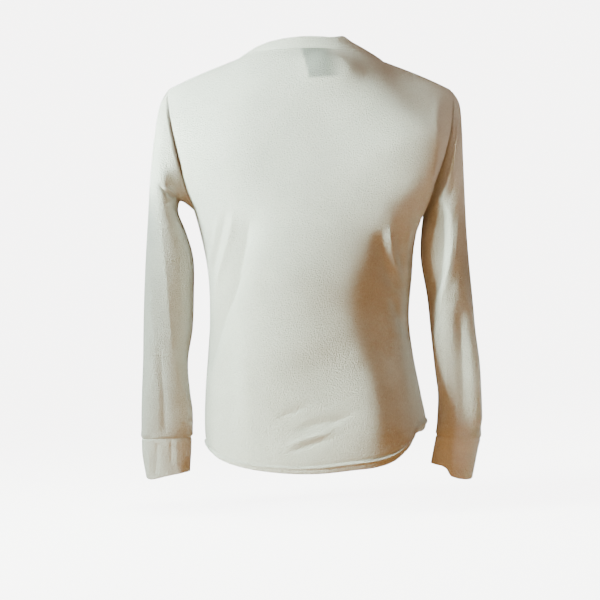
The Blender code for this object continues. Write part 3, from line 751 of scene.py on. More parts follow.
def upper_panel(t, u, face):
    """The panel from the chest, where t is 0, up to the shoulder and neck seams."""
    turn = np.pi * u
    left = armhole("left", t, face)
    right = armhole("right", t, face)
    line = BACK_MIDDLE if face > 0 else FRONT_MIDDLE
    middle = bezier(line, t)
    share = ((1 + np.cos(turn)) / 2)[..., None]
    side = right + (left - right) * share
    swell = 1 + SQUARENESS * np.sin(2 * turn) ** 2 * (1 - t) ** 2
    reach = np.sin(turn) * swell
    x = (left + right)[..., 0] / 2 + (left - right)[..., 0] / 2 * np.cos(turn) * swell
    y = side[..., 1] + (middle[..., 0] - side[..., 1]) * reach
    z = side[..., 2] + (middle[..., 1] - side[..., 2]) * np.sin(turn) ** 2
    ends = armhole("left", np.ones_like(t), face), armhole("right", np.ones_like(t), face)
    pull = soft_pull(t, u, ends, line[-1], face)
    x = x + pull[..., 0] * t**2
    y = y + pull[..., 1] * (1 - np.cos(t**2 * np.pi / 2))
    z = z + pull[..., 2] * np.sin(t**2 * np.pi / 2)
    return np.stack([x, y, z], axis=-1)


def panel_places():
    """The shares at which a panel's columns, its lower rows and its upper rows stand."""
    steps = np.array(EDGE_STEPS)
    across = np.linspace(0, 1, PANEL_COLUMNS + 1)
    close = steps / PANEL_COLUMNS
    across = np.sort(np.concatenate([across, close, 1 - close]))
    reach = HEM_ROWS_REACH / HEM_TO_CHEST
    lower = np.concatenate(
        [np.linspace(0, reach, HEM_ROWS, endpoint=False),
         np.linspace(reach, 1, LOWER_ROWS, endpoint=False)]
    )
    upper = np.linspace(0, 1, UPPER_ROWS + 1)
    upper = np.sort(np.concatenate([upper, 1 - steps / UPPER_ROWS]))
    return across, lower, upper


def panel_grid(face):
    """Rows of points from the hem to the shoulders, columns from the left to the right."""
    u, lower, upper = panel_places()
    rows = [lower_panel(v, u, face) for v in lower]
    rows += [upper_panel(np.full(u.shape, t), u, face) for t in upper]
    return softened(np.array(rows), len(lower))


def softened(rows, chest):
    """Rounds the crease across the chest, where the lower and the upper rows meet."""
    height = np.linalg.norm(rows[chest] - rows[chest - 1], axis=1).mean()
    reach = int(3 * CHEST_SOFTNESS / height)
    part = slice(chest - reach, chest + reach + 1)
    band = rows[part]
    away = (np.arange(len(band)) - reach) * height
    share = 0.5 * np.exp(-((away / CHEST_SOFTNESS) ** 2))[1:-1, None, None]
    for _ in range(round(2 * (CHEST_SOFTNESS / height) ** 2)):
        level = (band[:-2, 1:-1] + band[2:, 1:-1]) / 2
        band[1:-1, 1:-1] += share * (level - band[1:-1, 1:-1])
    rows[part] = band
    return rows


def sleeve_angles():
    """Angles round a sleeve that meet the rows of the panels at the armhole."""
    _, _, upper = panel_places()
    behind = 180.0 * (1 - upper)
    return np.concatenate([behind, -behind[-2:0:-1]])


def sleeve_rings(sections, amount, bows=None):
    """Rings of points down a sleeve or a cuff, read from a smooth curve through its table."""
    knots = np.arange(len(sections))
    angles = sleeve_angles()
    rings = []
    for place in np.linspace(0, len(sections) - 1, amount + 1):
        values = [smooth(knots, column(sections, name), place) for name in Section._fields]
        fade = max(0.0, 1 - place / BOW_REACH) if bows else 0.0
        bowed = np.multiply(bows or (0.0, 0.0), fade)
        rings.append(oval(Section(*values), angles, bowed, SQUARENESS * (1 - fade)))
    return np.array(rings)


def cuff_rings(side):
    """Rings of a cuff, down to its uneven edge."""
    rings = sleeve_rings([SLEEVES[side][-1], *CUFFS[side]], CUFF_ROWS)
    edge = CUFF_EDGES[side]
    share = np.linspace(0, 1, rings.shape[0])[:, None] ** 2
    rings[..., 2] -= share * smooth(column(edge, 0), column(edge, 1), sleeve_angles())
    return rings


def band_rings(width):
    """Rings of the neck band, from its seam to its upper edge."""
    u, _, _ = panel_places()
    ends = NECK_END / 180
    inside = u[(u > ends - 1e-9) & (u < 1 - ends + 1e-9)]
    back = (inside * 180 - NECK_END) / (180 - 2 * NECK_END) * 180
    seam = np.concatenate([neck_seam(back[:-1], 1), neck_seam(back[:0:-1], -1)])
    turn = np.radians(np.concatenate([back[:-1], 360 - back[:0:-1]]))
    behind = np.clip(np.sin(turn), 0, None)
    before = np.clip(-np.sin(turn), 0, None)
    left = (1 + np.cos(turn)) / 2
    side_rise = BAND_RISE_AT_SIDES[1] + (BAND_RISE_AT_SIDES[0] - BAND_RISE_AT_SIDES[1]) * left
    inward = -BAND_LEAN_AT_SIDES * np.cos(turn)
    backward = BAND_AT_BACK[0] * behind + BAND_AT_FRONT[0] * before
    rise = side_rise + (BAND_AT_BACK[1] - side_rise) * behind
    rise += (BAND_AT_FRONT[1] - side_rise) * before
    lean = np.stack([inward, backward, rise], axis=-1)
    lean /= np.linalg.norm(lean, axis=-1, keepdims=True)
    heights = np.linspace(0, width, BAND_ROWS + 1)
    away = np.degrees(turn) - BAND_POINT
    reach = np.where(away > 0, *BAND_POINT_REACH)
    point = 1 + BAND_POINT_RISE * np.exp(-((away / reach) ** 2))
    return np.array([seam + lean * point[:, None] * height for height in heights])


def grid_normals(grid, closed):
    """Outward directions at the points of a grid whose rows may close to rings."""
    if closed:
        across = np.roll(grid, -1, axis=1) - np.roll(grid, 1, axis=1)
    else:
        across = np.gradient(grid, axis=1)
    normals = np.cross(across, np.gradient(grid, axis=0))
    return normals / np.linalg.norm(normals, axis=-1, keepdims=True)


def shared_normals(grids):
    """Normals of all grids, where points of two pieces that meet at a seam share theirs."""
    found = {name: grid_normals(grid, closed) for name, (grid, closed) in grids.items()}
    sums = {}
    edges = {}
    for name, (grid, closed) in grids.items():
        edge = np.zeros(grid.shape[:2], bool)
        edge[[0, -1]] = True
        if not closed:
            edge[:, [0, -1]] = True
        edges[name] = edge
        keys = [tuple(key) for key in np.round(grid[edge], 6) + 0.0]
        for key, normal in zip(keys, found[name][edge]):
            sums[key] = sums.get(key, 0.0) + normal
    for name, (grid, _) in grids.items():
        edge = edges[name]
        keys = [tuple(key) for key in np.round(grid[edge], 6) + 0.0]
        joined = np.array([sums[key] for key in keys])
        found[name][edge] = joined / np.linalg.norm(joined, axis=-1, keepdims=True)
    return found


def lengths_along(grid, axis):
    """How far each point lies from the start of its row or column, in metres."""
    steps = np.linalg.norm(np.diff(grid, axis=axis), axis=-1)
    total = np.cumsum(steps, axis=axis)
    pad = [(0, 0), (0, 0)]
    pad[axis] = (1, 0)
    return np.pad(total, pad)


def fold_height(flat, fold):
    """How far one fold pushes each point out. The points are (x, z) in millimetres."""
    points = np.array(fold.line, float)
    knots = np.concatenate([[0], np.cumsum(np.linalg.norm(np.diff(points, axis=0), axis=1))])
    places = np.linspace(0, knots[-1], FOLD_STEPS)
    line = np.stack([smooth(knots, points[:, k], places) for k in (0, 1)], axis=-1)
    reach = FOLD_REACH * max(fold.wide)
    near = np.all((flat > line.min(0) - reach) & (flat < line.max(0) + reach), axis=-1)
    heights = np.zeros(flat.shape[:-1])
    if not near.any():
        return heights
    start, step = line[:-1], np.diff(line, axis=0)
    away = flat[near][:, None] - start
    share = np.clip((away * step).sum(-1) / (step * step).sum(-1), 0, 1)
    gap = away - share[..., None] * step
    distance = np.hypot(gap[..., 0], gap[..., 1])
    nearest = distance.argmin(axis=1)
    rows = np.arange(len(nearest))
    distance = distance[rows, nearest]
    along = (nearest + share[rows, nearest]) / len(step)
    turn = step[nearest, 0] * away[rows, nearest, 1] - step[nearest, 1] * away[rows, nearest, 0]
    wide = np.where(turn > 0, fold.wide[0], fold.wide[1])
    taper = ease(along / fold.ends[0]) * ease((1 - along) / fold.ends[1])
    heights[near] = fold.high * taper * np.exp(-((distance / wide) ** fold.crest))
    return heights


def folds_out(points, normals, folds, face):
    """How far a list of folds pushes each point out, in metres, where the cloth faces them."""
    if face > 0:
        eye = np.array(VIEWPOINT)
        to_eye = eye - points
        flat = eye + (points - eye) * (eye[1] / (eye[1] - points[..., 1:2]))
        to_eye /= np.linalg.norm(to_eye, axis=-1, keepdims=True)
        facing = (normals * to_eye).sum(-1)
    else:
        flat = points
        facing = -normals[..., 1]
    flat = flat[..., ::2] / MM
    total = sum(fold_height(flat, fold) for fold in folds)
    return total * MM * ease(facing * FOLD_TURN)


def evened(heights, reach=3, passes=3):
    """Heights with their sharp corners rounded off, by averaging each with its neighbours."""
    for _ in range(passes):
        for axis in (0, 1):
            edges = [(reach + 1, reach) if k == axis else (0, 0) for k in (0, 1)]
            sums = np.cumsum(np.pad(heights, edges, mode="edge"), axis=axis)
            sums = np.moveaxis(sums, axis, 0)
            window = 2 * reach + 1
            heights = np.moveaxis(sums[window:] - sums[:-window], 0, axis) / window
    return heights


def waves(along, pitch, phase):
    """An uneven ripple of about the given pitch, from -1 to 1."""
    turn = 2 * np.pi * along / pitch
    total = sum(high * np.sin(quick * turn + shift * phase) for high, quick, shift in WAVES)
    return total / sum(high for high, _, _ in WAVES)


def bell(away, wide):
    """Falls softly from 1 on a line to nothing at about twice the half width from it."""
    return np.exp(-((away / wide) ** 2))


def seam_shape(away, along, seam, phase):
    """The groove beside a seam, and the small puckers that its stitches draw in."""
    groove = -seam.dip * bell(away, seam.wide)
    ripple = seam.pucker * waves(along, PUCKER_PITCH, phase) * bell(away, PUCKER_REACH)
    return groove + ripple * (1 - bell(away, PUCKER_GAP))


def ridge_shape(away, ridge):
    """A ridge, or a groove, that runs along a line at its own distance from it."""
    return ridge.high * bell(away - ridge.away, ridge.wide)


def edge_shape(away, along, ripple, phase):
    """The ripple of a free edge."""
    return ripple.high * waves(along, ripple.pitch, phase) * bell(away, ripple.reach)


def hem_widths(sizes):
    """Width of the turned-up hem at each column, from the left side to the right one."""
    across, _, _ = panel_places()
    return sizes.hem_left + (sizes.hem_right - sizes.hem_left) * ease(across)


def panel_heights(grid, normals, face, sizes):
    """How far each point of a panel stands out from its plain form, and its hem's depth."""
    folds = BACK_FOLDS if face > 0 else FRONT_FOLDS
    phase = PHASES["back_panel" if face > 0 else "front_panel"]
    along_rows = lengths_along(grid, 1)
    up = lengths_along(grid, 0)
    down = up[-1] - up
    left, right = along_rows, along_rows[:, -1:] - along_rows
    to_seam = np.minimum(np.minimum(left, right), down)
    heights = folds_out(grid, normals, folds, face) * ease(to_seam / PANEL_FOLD_FADE)
    if face > 0:
        forms = evened(folds_out(grid, normals, BACK_FORMS, face))
        heights += forms * ease(to_seam / FORM_FADE)
    for away, along, seam, turn in (
        (left, up, SIDE_SEAM, phase),
        (right, up, SIDE_SEAM, phase + 1.9),
        (down, along_rows, UPPER_SEAM, phase + 3.1),
    ):
        heights = heights + seam_shape(away, along, seam, turn)
    share = panel_places()[0]
    start, end = NECK_RIDGE_SPAN
    neck = ease((share - start) / NECK_RIDGE_FADE) * ease((end - share) / NECK_RIDGE_FADE)
    heights = heights + neck * ridge_shape(down, NECK_RIDGE)
    band = hem_widths(sizes)[None, :]
    below = np.clip(1 - up / band, 0, 1)
    heights -= sizes.hem_lean * below**HEM_CURL
    for ridge in HEM_RIDGES:
        heights += ridge_shape(up - band, ridge)
    heights += edge_shape(up, along_rows, HEM_RIPPLE, phase)
    double = HEM_LAYER * ease((band - up) / HEM_LAYER_EDGE)
    return heights, double


def sleeve_heights(grid, normals, side, sizes):
    """How far each point of a sleeve stands out from its plain form."""
    down = lengths_along(grid, 0)
    up = down[-1] - down
    round_it = lengths_along(grid, 1)
    to_seam = np.minimum(down, up)
    heights = folds_out(grid, normals, SLEEVE_BACK_FOLDS[side], 1)
    heights += folds_out(grid, normals, SLEEVE_FRONT_FOLDS[side], -1)
    heights *= ease(to_seam / SLEEVE_FOLD_FADE)
    phase = PHASES[side + "_sleeve"]
    heights = heights + seam_shape(down, round_it, ARMHOLE_SEAM, phase)
    heights = heights + seam_shape(up, round_it, CUFF_SEAM_ABOVE, phase + 2.0)
    uneven = BLOUSE_EVEN + (1 - BLOUSE_EVEN) * waves(round_it, BLOUSE_PITCH, phase)
    start, reach = BLOUSE_REACH
    return heights + sizes.blouse * uneven * ease(up / start) * bell(up, reach)


def cuff_heights(grid, normals, side):
    """How far each point of a cuff stands out from its plain form."""
    down = lengths_along(grid, 0)
    up = down[-1] - down
    round_it = lengths_along(grid, 1)
    heights = folds_out(grid, normals, CUFF_FOLDS, 1) * ease(down / CUFF_FOLD_FADE)
    phase = PHASES[side + "_cuff"]
    heights = heights + seam_shape(down, round_it, CUFF_SEAM_BELOW, phase)
    pitch, high, start = CUFF_WAVE
    heights += high * waves(round_it, pitch, phase) * ease(down / start)
    return heights + edge_shape(up, round_it, CUFF_RIPPLE, phase)


def band_heights(grid):
    """How far each point of the neck band stands out from its plain form."""
    up = lengths_along(grid, 0)
    round_it = lengths_along(grid, 1)
    phase = PHASES["neck_band"]
    heights = BAND_SWELL * np.sin(np.pi * np.clip(up / up[-1], 0, 1))
    heights = heights + seam_shape(up, round_it, BAND_SEAM, phase)
    heights += ridge_shape(up, BAND_GROOVE)
    return heights + edge_shape(up[-1] - up, round_it, BAND_RIPPLE, phase + 0.8)


def flow(grid, closed):
    """Places of the points on the laid-out cloth: across and along it, in metres."""
    along = lengths_along(grid, 0)
    across = lengths_along(grid, 1)
    if closed:
        last = np.linalg.norm(grid[:, 0] - grid[:, -1], axis=-1)
        return across, along, across[:, -1] + last
    return across - across[:, grid.shape[1] // 2 : grid.shape[1] // 2 + 1], along, None


SHAPES = {}


def garment(sizes):
    """Works out every piece once: its outer and inner points, and how it is laid out."""
    if SHAPES:
        return SHAPES
    grids = {
        "back_panel": (panel_grid(1), False),
        "front_panel": (panel_grid(-1)[:, ::-1], False),
        "neck_band": (band_rings(sizes.band), True),
    }
    for side, sections in SLEEVES.items():
        sleeve = sleeve_rings(sections, SLEEVE_ROWS, ARMHOLE_BOWS[side])
        cuff = cuff_rings(side)
        if side == "right":
            sleeve, cuff = sleeve[:, ::-1], cuff[:, ::-1]
        grids[f"{side}_sleeve"] = (sleeve, True)
        grids[f"{side}_cuff"] = (cuff, True)
    normals = shared_normals(grids)
    for name, (grid, closed) in grids.items():
        towards = normals[name]
        thick = sizes.rib if name.endswith(("cuff", "band")) else sizes.jersey
        extra = 0.0
        side = name.split("_")[0]
        if name.endswith("panel"):
            face = 1 if side == "back" else -1
            ordered = (grid, towards) if face > 0 else (grid[:, ::-1], towards[:, ::-1])
            heights, extra = panel_heights(*ordered, face, sizes)
            if face < 0:
                heights, extra = heights[:, ::-1], extra[:, ::-1]
        elif name.endswith("sleeve"):
            heights = sleeve_heights(grid, towards, side, sizes)
        elif name.endswith("cuff"):
            heights = cuff_heights(grid, towards, side)
        else:
            heights = band_heights(grid)
        across, along, total = flow(grid, closed)
        plain = inset(grid, towards, closed, sizes.seam_gap)
        outer = plain + towards * heights[..., None]
        inner = plain + towards * (heights - thick - extra)[..., None]
        SHAPES[name] = {
            "outer": outer,
            "inner": inner,
            "closed": closed,
            "across": across,
            "along": along,
            "total": total,
        }
    return SHAPES


def edge_loops(rows, columns, closed):
    """The places along each edge of a grid, in order, with the cloth on the left."""
    near = [(0, j) for j in range(columns)]
    far = [(rows - 1, j) for j in reversed(range(columns))]
    if closed:
        return [near, far]
    right = [(i, columns - 1) for i in range(1, rows - 1)]
    left = [(i, 0) for i in reversed(range(1, rows - 1))]
    return [near + right + far + left]


def inset(grid, normals, closed, gap):
    """The grid with its edges moved in by half of the gap between two pieces."""
    moved = grid.copy()
    for loop in edge_loops(*grid.shape[:2], closed):
        places = tuple(np.array(loop).T)
        line = grid[places]
        ahead = np.roll(line, -1, axis=0) - line
        ahead /= np.maximum(np.linalg.norm(ahead, axis=1, keepdims=True), 1e-9)
        behind = np.roll(ahead, 1, axis=0)
        inward = np.cross(normals[places], ahead + behind)
        corner = 1 + np.sum(ahead * behind, axis=1, keepdims=True)
        moved[places] += gap / 2 * inward / np.maximum(corner, CORNER_LIMIT)
    return moved


def rim_rows(outer, inner, beside):
    """Rows that go round a folded edge, from the outer row of points to the inner one."""
    middle = (outer + inner) / 2
    half = (outer - inner) / 2
    away = outer - beside
    away /= np.linalg.norm(away, axis=-1, keepdims=True)
    radius = np.linalg.norm(half, axis=-1, keepdims=True)
    turns = np.linspace(0, np.pi, RIM_STEPS + 2)[1:-1]
    return [middle + half * math.cos(turn) + away * radius * math.sin(turn) for turn in turns]


def shell(name, shape, finish, near_rim=False, far_rim=False):
    """Makes the closed piece of cloth: right side, wrong side, and the edges between them."""
    outer, inner, closed = shape["outer"], shape["inner"], shape["closed"]
    rows, columns = outer.shape[:2]
    across, along, total = shape["across"], shape["along"], shape["total"]
    coarse = inner[::2, ::2]
    blocks = [outer.reshape(-1, 3)]
    flats = [np.stack([across, along], axis=-1).reshape(-1, 2)]
    wraps = [np.broadcast_to(0.0 if total is None else total[:, None], across.shape).reshape(-1)]
    first = {}

    def add(points, row, label):
        first[label] = sum(len(block) for block in blocks)
        blocks.append(points.reshape(-1, 3))
        picked = slice(None) if points.shape[-2] == columns else slice(None, None, 2)
        x, y = across[row][..., picked], along[row][..., picked]
        flats.append(np.stack([x, y], axis=-1).reshape(-1, 2))
        turn = 0.0 if total is None else total[row]
        wraps.append(np.broadcast_to(np.asarray(turn)[..., None], x.shape).reshape(-1))

    near = rim_rows(outer[0], inner[0], outer[1]) if near_rim else []
    far = rim_rows(outer[-1], inner[-1], outer[-2]) if far_rim else []
    for k, points in enumerate(near):
        add(points, 0, ("near", k))
    for k, points in enumerate(far):
        add(points, rows - 1, ("far", k))
    add(coarse, slice(None, None, 2), "inner")
    few_rows, few = coarse.shape[:2]

    def out(i, j):
        return i * columns + j % columns

    def into(i, j):
        return first["inner"] + i * few + j % few

    faces = []
    steps = columns if closed else columns - 1
    half_steps = few if closed else few - 1
    for i in range(rows - 1):
        for j in range(steps):
            faces.append((out(i, j), out(i, j + 1), out(i + 1, j + 1), out(i + 1, j)))
    for i in range(few_rows - 1):
        for j in range(half_steps):
            faces.append((into(i + 1, j), into(i + 1, j + 1), into(i, j + 1), into(i, j)))
    for label, row, few_row, amount in (
        ("near", 0, 0, len(near)),
        ("far", rows - 1, few_rows - 1, len(far)),
    ):
        levels = [lambda j, row=row: out(row, j)]
        for k in range(amount):
            levels.append(lambda j, start=first[(label, k)]: start + j % columns)
        flip = label == "far"
        for above, below in zip(levels, levels[1:]):
            for j in range(steps):
                face = (above(j + 1), above(j), below(j), below(j + 1))
                faces.append(face[::-1] if flip else face)
        last = levels[-1]
        for j in range(half_steps):
            fine = [last(2 * j + k) for k in (2, 1, 0)]
            face = (*fine, into(few_row, j), into(few_row, j + 1))
            faces.append(face[::-1] if flip else face)
        if not closed and amount:
            right = [level(columns - 1) for level in levels] + [into(few_row, few - 1)]
            left = [level(0) for level in levels] + [into(few_row, 0)]
            faces.append(tuple(right[::-1] if flip else right))
            faces.append(tuple(left if flip else left[::-1]))
    if not closed:
        end = columns - 1
        for i in range(few_rows - 1):
            right = [out(2 * i + k, end) for k in (2, 1, 0)]
            left = [out(2 * i + k, 0) for k in (0, 1, 2)]
            faces.append((*right, into(i, few - 1), into(i + 1, few - 1)))
            faces.append((*left, into(i + 1, 0), into(i, 0)))

    mesh = bpy.data.meshes.new(name)
    mesh.from_pydata(np.concatenate(blocks).tolist(), [], faces)
    mesh.materials.append(finish)
    lay_out(mesh, np.concatenate(flats), np.concatenate(wraps))
    mesh.shade_smooth()
    mesh.set_sharp_from_angle(angle=math.radians(SHARP_ANGLE))
    if mesh.validate():
        raise RuntimeError(f"{name} has faces that can't be used")
    piece = bpy.data.objects.new(name, mesh)
    bpy.context.scene.collection.objects.link(piece)
    return piece


def lay_out(mesh, flats, wraps):
    """Gives the cloth a UV map in metres, unwrapped where its rows close to rings."""
    corners = np.empty(len(mesh.loops), np.int64)
    mesh.loops.foreach_get("vertex_index", corners)
    starts = np.empty(len(mesh.polygons), np.int64)
    mesh.polygons.foreach_get("loop_start", starts)
    counts = np.diff(np.append(starts, len(corners)))
    uv = flats[corners]
    widest = np.maximum.reduceat(uv[:, 0], starts)
    narrow = np.minimum.reduceat(uv[:, 0], starts)
    total = wraps[corners]
    wrapped = np.repeat(widest - narrow, counts) > total / 2
    wrapped &= (uv[:, 0] < total / 2) & (total > 0)
    uv[wrapped, 0] += total[wrapped]
    layer = mesh.uv_layers.new(name="lay")
    layer.data.foreach_set("uv", uv.astype(np.float32).reshape(-1))


def node_group(name, inputs, outputs):
    """Starts a shader node group with named inputs and outputs."""
    tree = bpy.data.node_groups.new(name, "ShaderNodeTree")
    for label, kind, value in inputs:
        socket = tree.interface.new_socket(name=label, in_out="INPUT", socket_type=kind)
        socket.default_value = value
    for label, kind in outputs:
        tree.interface.new_socket(name=label, in_out="OUTPUT", socket_type=kind)
    return tree, tree.nodes.new("NodeGroupInput"), tree.nodes.new("NodeGroupOutput")


def add_node(tree, kind, **values):
    """Adds a node, setting its options and, by name or number, its inputs."""
    node = tree.nodes.new(kind)
    for key, value in values.items():
        if key == "inputs":
            for name, item in value.items():
                if isinstance(item, bpy.types.NodeSocket):
                    tree.links.new(item, node.inputs[name])
                else:
                    node.inputs[name].default_value = item
        else:
            setattr(node, key, value)
    return node


def math_node(tree, operation, first, second=0.0):
    """Adds a sum of two numbers or sockets, and gives its result."""
    node = add_node(tree, "ShaderNodeMath", operation=operation, inputs={0: first, 1: second})
    return node.outputs[0]


# The pile's grains, as their scale and their share of its height, the scale of its uneven tone,
# and the heights between which its specks go from dark to light.
GRAINS = ((520.0, 0.60), (1000.0, 0.30), (160.0, 0.10))
TONE_SCALE = 26.0
SPECKS = (0.38, 0.62)

# How deep the courses cut into the wales, as a share of the wales' depth.
COURSE_DEPTH = 0.18

# What all the cloth has in common, and how dark and light its tone gets.
CLOTH = {
    "Roughness": 0.92,
    "Specular IOR Level": 0.18,
    "Sheen Weight": 0.20,
    "Sheen Roughness": 0.45,
    "Sheen Tint": (1.0, 0.98, 0.95, 1.0),
}
TONES = (0.90, 1.06)

# Finishes: which colour they have, from wale to wale and from course to course, the depth of
# the knit and that of the pile, in metres.
Finish = namedtuple("Finish", "colour knit_size knit_depth pile_depth")
FINISHES = {
    "Brushed jersey": Finish("jersey", (0.0012, 0.0010), 0.00012, 0.0063),
    "Fine rib": Finish("rib", (0.0014, 0.0010), 0.00022, 0.0030),
    "Sewing thread": Finish("thread", None, 0.0, 0.0001),
    "Woven label": Finish("label", (0.0005, 0.0004), 0.00006, 0.0001),
}


def brushed_group():
    """Brushed pile: a pebbled height and a faint unevenness of tone."""
    if "Brushed pile" in bpy.data.node_groups:
        return bpy.data.node_groups["Brushed pile"]
    tree, given, result = node_group(
        "Brushed pile",
        [("Vector", "NodeSocketVector", (0, 0, 0)), ("Size", "NodeSocketFloat", 1.0)],
        [("Height", "NodeSocketFloat"), ("Tone", "NodeSocketFloat")],
    )
    place = given.outputs["Vector"]
    scale = math_node(tree, "DIVIDE", 1.0, given.outputs["Size"])
    heights = []
    for size, share in GRAINS:
        fine = math_node(tree, "MULTIPLY", scale, size)
        noise = add_node(
            tree,
            "ShaderNodeTexNoise",
            inputs={"Vector": place, "Scale": fine, "Detail": 2.0, "Roughness": 0.55},
        )
        heights.append(math_node(tree, "MULTIPLY", noise.outputs["Fac"], share))
    total = heights[0]
    for height in heights[1:]:
        total = math_node(tree, "ADD", total, height)
    tree.links.new(total, result.inputs["Height"])
    wide = add_node(
        tree, "ShaderNodeTexNoise", inputs={"Vector": place, "Scale": TONE_SCALE, "Detail": 3.0}
    )
    low, high = SPECKS
    speck = add_node(
        tree, "ShaderNodeMapRange", inputs={0: total, 1: low, 2: high, 3: -0.5, 4: 0.5}
    )
    tone = math_node(tree, "ADD", wide.outputs["Fac"], speck.outputs[0])
    tree.links.new(tone, result.inputs["Tone"])
    return tree


def knit_group():
    """Knit wales that run along the cloth, and the courses that cross them."""
    if "Knit wales" in bpy.data.node_groups:
        return bpy.data.node_groups["Knit wales"]
    tree, given, result = node_group(
        "Knit wales",
        [
            ("Vector", "NodeSocketVector", (0, 0, 0)),
            ("Wale", "NodeSocketFloat", 0.0011),
            ("Course", "NodeSocketFloat", 0.0009),
        ],
        [("Height", "NodeSocketFloat")],
    )
    parts = add_node(tree, "ShaderNodeSeparateXYZ", inputs={0: given.outputs["Vector"]})
    turns = []
    for axis, pitch in (("X", "Wale"), ("Y", "Course")):
        share = math_node(tree, "DIVIDE", parts.outputs[axis], given.outputs[pitch])
        turns.append(math_node(tree, "MULTIPLY", share, 2 * math.pi))
    half = math_node(tree, "MULTIPLY", math_node(tree, "COSINE", turns[0]), 0.5)
    wale = math_node(tree, "ADD", half, 0.5)
    course = math_node(tree, "MULTIPLY", math_node(tree, "COSINE", turns[1]), COURSE_DEPTH)
    height = math_node(tree, "ADD", wale, math_node(tree, "MULTIPLY", course, wale))
    tree.links.new(height, result.inputs["Height"])
    return tree


def cloth_material(name, colour, knit_size, knit_depth, pile_depth):
    """A matt knit: its wales and courses, a brushed pile over them and a soft sheen."""
    made = bpy.data.materials.new(name)
    made.use_nodes = True
    tree = made.node_tree
    shader = tree.nodes["Principled BSDF"]
    for socket, value in CLOTH.items():
        shader.inputs[socket].default_value = value
    place = add_node(tree, "ShaderNodeTexCoord").outputs["Object"]
    pile = add_node(tree, "ShaderNodeGroup", node_tree=brushed_group(), inputs={"Vector": place})
    low, high = ((*(min(1.0, tone * c) for c in colour), 1.0) for tone in TONES)
    tone = add_node(
        tree,
        "ShaderNodeMix",
        data_type="RGBA",
        inputs={0: pile.outputs["Tone"], 6: low, 7: high},
    )
    # Painted shade: the label's shadow through the cloth greys the base colour where the mask is
    # set.
    backed = add_node(tree, "ShaderNodeAttribute", attribute_name=PAINTED_LABEL_SHADE)
    tinted = add_node(
        tree,
        "ShaderNodeMix",
        data_type="RGBA",
        inputs={0: backed.outputs["Fac"], 6: tone.outputs[2], 7: (*PAINTED_LABEL_SHADE_COLOUR, 1.0)},
    )
    tree.links.new(tinted.outputs[2], shader.inputs["Base Color"])
    soft = add_node(
        tree,
        "ShaderNodeBump",
        inputs={"Strength": 1.0, "Distance": pile_depth, "Height": pile.outputs["Height"]},
    )
    if knit_depth:
        lay = add_node(tree, "ShaderNodeUVMap", uv_map="lay").outputs[0]
        knit = add_node(
            tree,
            "ShaderNodeGroup",
            node_tree=knit_group(),
            inputs={"Vector": lay, "Wale": knit_size[0], "Course": knit_size[1]},
        )
        woven = add_node(
            tree,
            "ShaderNodeBump",
            inputs={"Strength": 1.0, "Distance": knit_depth, "Height": knit.outputs[0]},
        )
        tree.links.new(woven.outputs[0], soft.inputs["Normal"])
    tree.links.new(soft.outputs[0], shader.inputs["Normal"])
    return made


def finish_named(name, colours):
    """The garment's finishes, each made once."""
    if name in bpy.data.materials:
        return bpy.data.materials[name]
    colour, *depths = FINISHES[name]
    return cloth_material(name, getattr(colours, colour), *depths)


def mark_painted_label_shade(mesh, shape):
    """Marks the back panel's points with the label behind them, where its shadow is painted grey.
    """
    across, lower, upper = panel_places()
    left, right, bottom = LABEL_SHADE_EDGES
    heights = np.concatenate([np.zeros(len(lower)), upper])[:, None]
    place = across - LABEL_SHADE_SLANT * (1 - heights) / (1 - LABEL_SHADE_UP)
    beside = ease((place - LABEL_SHADE_ACROSS[0]) / left) * ease((LABEL_SHADE_ACROSS[1] - place) / right)
    above = ease((heights - LABEL_SHADE_UP) / bottom)
    mask = np.zeros(len(mesh.vertices), np.float32)
    amount = shape["outer"].shape[0] * shape["outer"].shape[1]
    mask[:amount] = (above * beside).reshape(-1)
    mesh.attributes.new(PAINTED_LABEL_SHADE, "FLOAT", "POINT").data.foreach_set("value", mask)


def dress(name, colours, sizes, finish, slot, flat, area, **rims):
    """Makes one piece of cloth, which stands for its plain solid."""
    shape = garment(sizes)[name]
    piece = shell(name + "_cloth", shape, finish_named(finish, colours), **rims)
    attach(piece, "root")
    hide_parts(name)
    return piece


def settings(context):
    """The sizes and the colours that the user has set."""
    return context.scene.top_sizes, context.scene.top_colours


class TOP_OT_body(bpy.types.Operator):
    """Makes the back and the front with their turned-up hems."""

    bl_idname = "thermal_top.body"
    bl_label = "Back and front"

    def execute(self, context):
        sizes, colours = settings(context)
        for name, flat, area in (
            ("back_panel", (0.47, 0.63), 0.27),
            ("front_panel", (0.47, 0.62), 0.262),
        ):
            piece = dress(
                name, colours, sizes, "Brushed jersey", "jersey", flat, area, near_rim=True
            )
            # The back panel gets the mask for the painted shade of the label behind it.
            if name == "back_panel":
                mark_painted_label_shade(piece.data, garment(sizes)[name])
        return {"FINISHED"}


class TOP_OT_sleeves(bpy.types.Operator):
    """Makes both sleeves, which bulge a little over their cuffs."""

    bl_idname = "thermal_top.sleeves"
    bl_label = "Sleeves"

    def execute(self, context):
        sizes, colours = settings(context)
        for name, area in (("left_sleeve", 0.140), ("right_sleeve", 0.135)):
            dress(name, colours, sizes, "Brushed jersey", "jersey", (0.34, 0.56), area)
        return {"FINISHED"}


class TOP_OT_cuffs(bpy.types.Operator):
    """Makes both ribbed cuffs."""

    bl_idname = "thermal_top.cuffs"
    bl_label = "Cuffs"

    def execute(self, context):
        sizes, colours = settings(context)
        for name in ("left_cuff", "right_cuff"):
            dress(name, colours, sizes, "Fine rib", "rib", (0.20, 0.056), 0.0109, far_rim=True)
        return {"FINISHED"}


class TOP_OT_neck_band(bpy.types.Operator):
    """Makes the ribbed band round the neck."""

    bl_idname = "thermal_top.neck_band"
    bl_label = "Neck band"

    def execute(self, context):
        sizes, colours = settings(context)
        dress(
            "neck_band", colours, sizes, "Fine rib", "rib", (0.56, 0.019), 0.0104, far_rim=True
        )
        return {"FINISHED"}


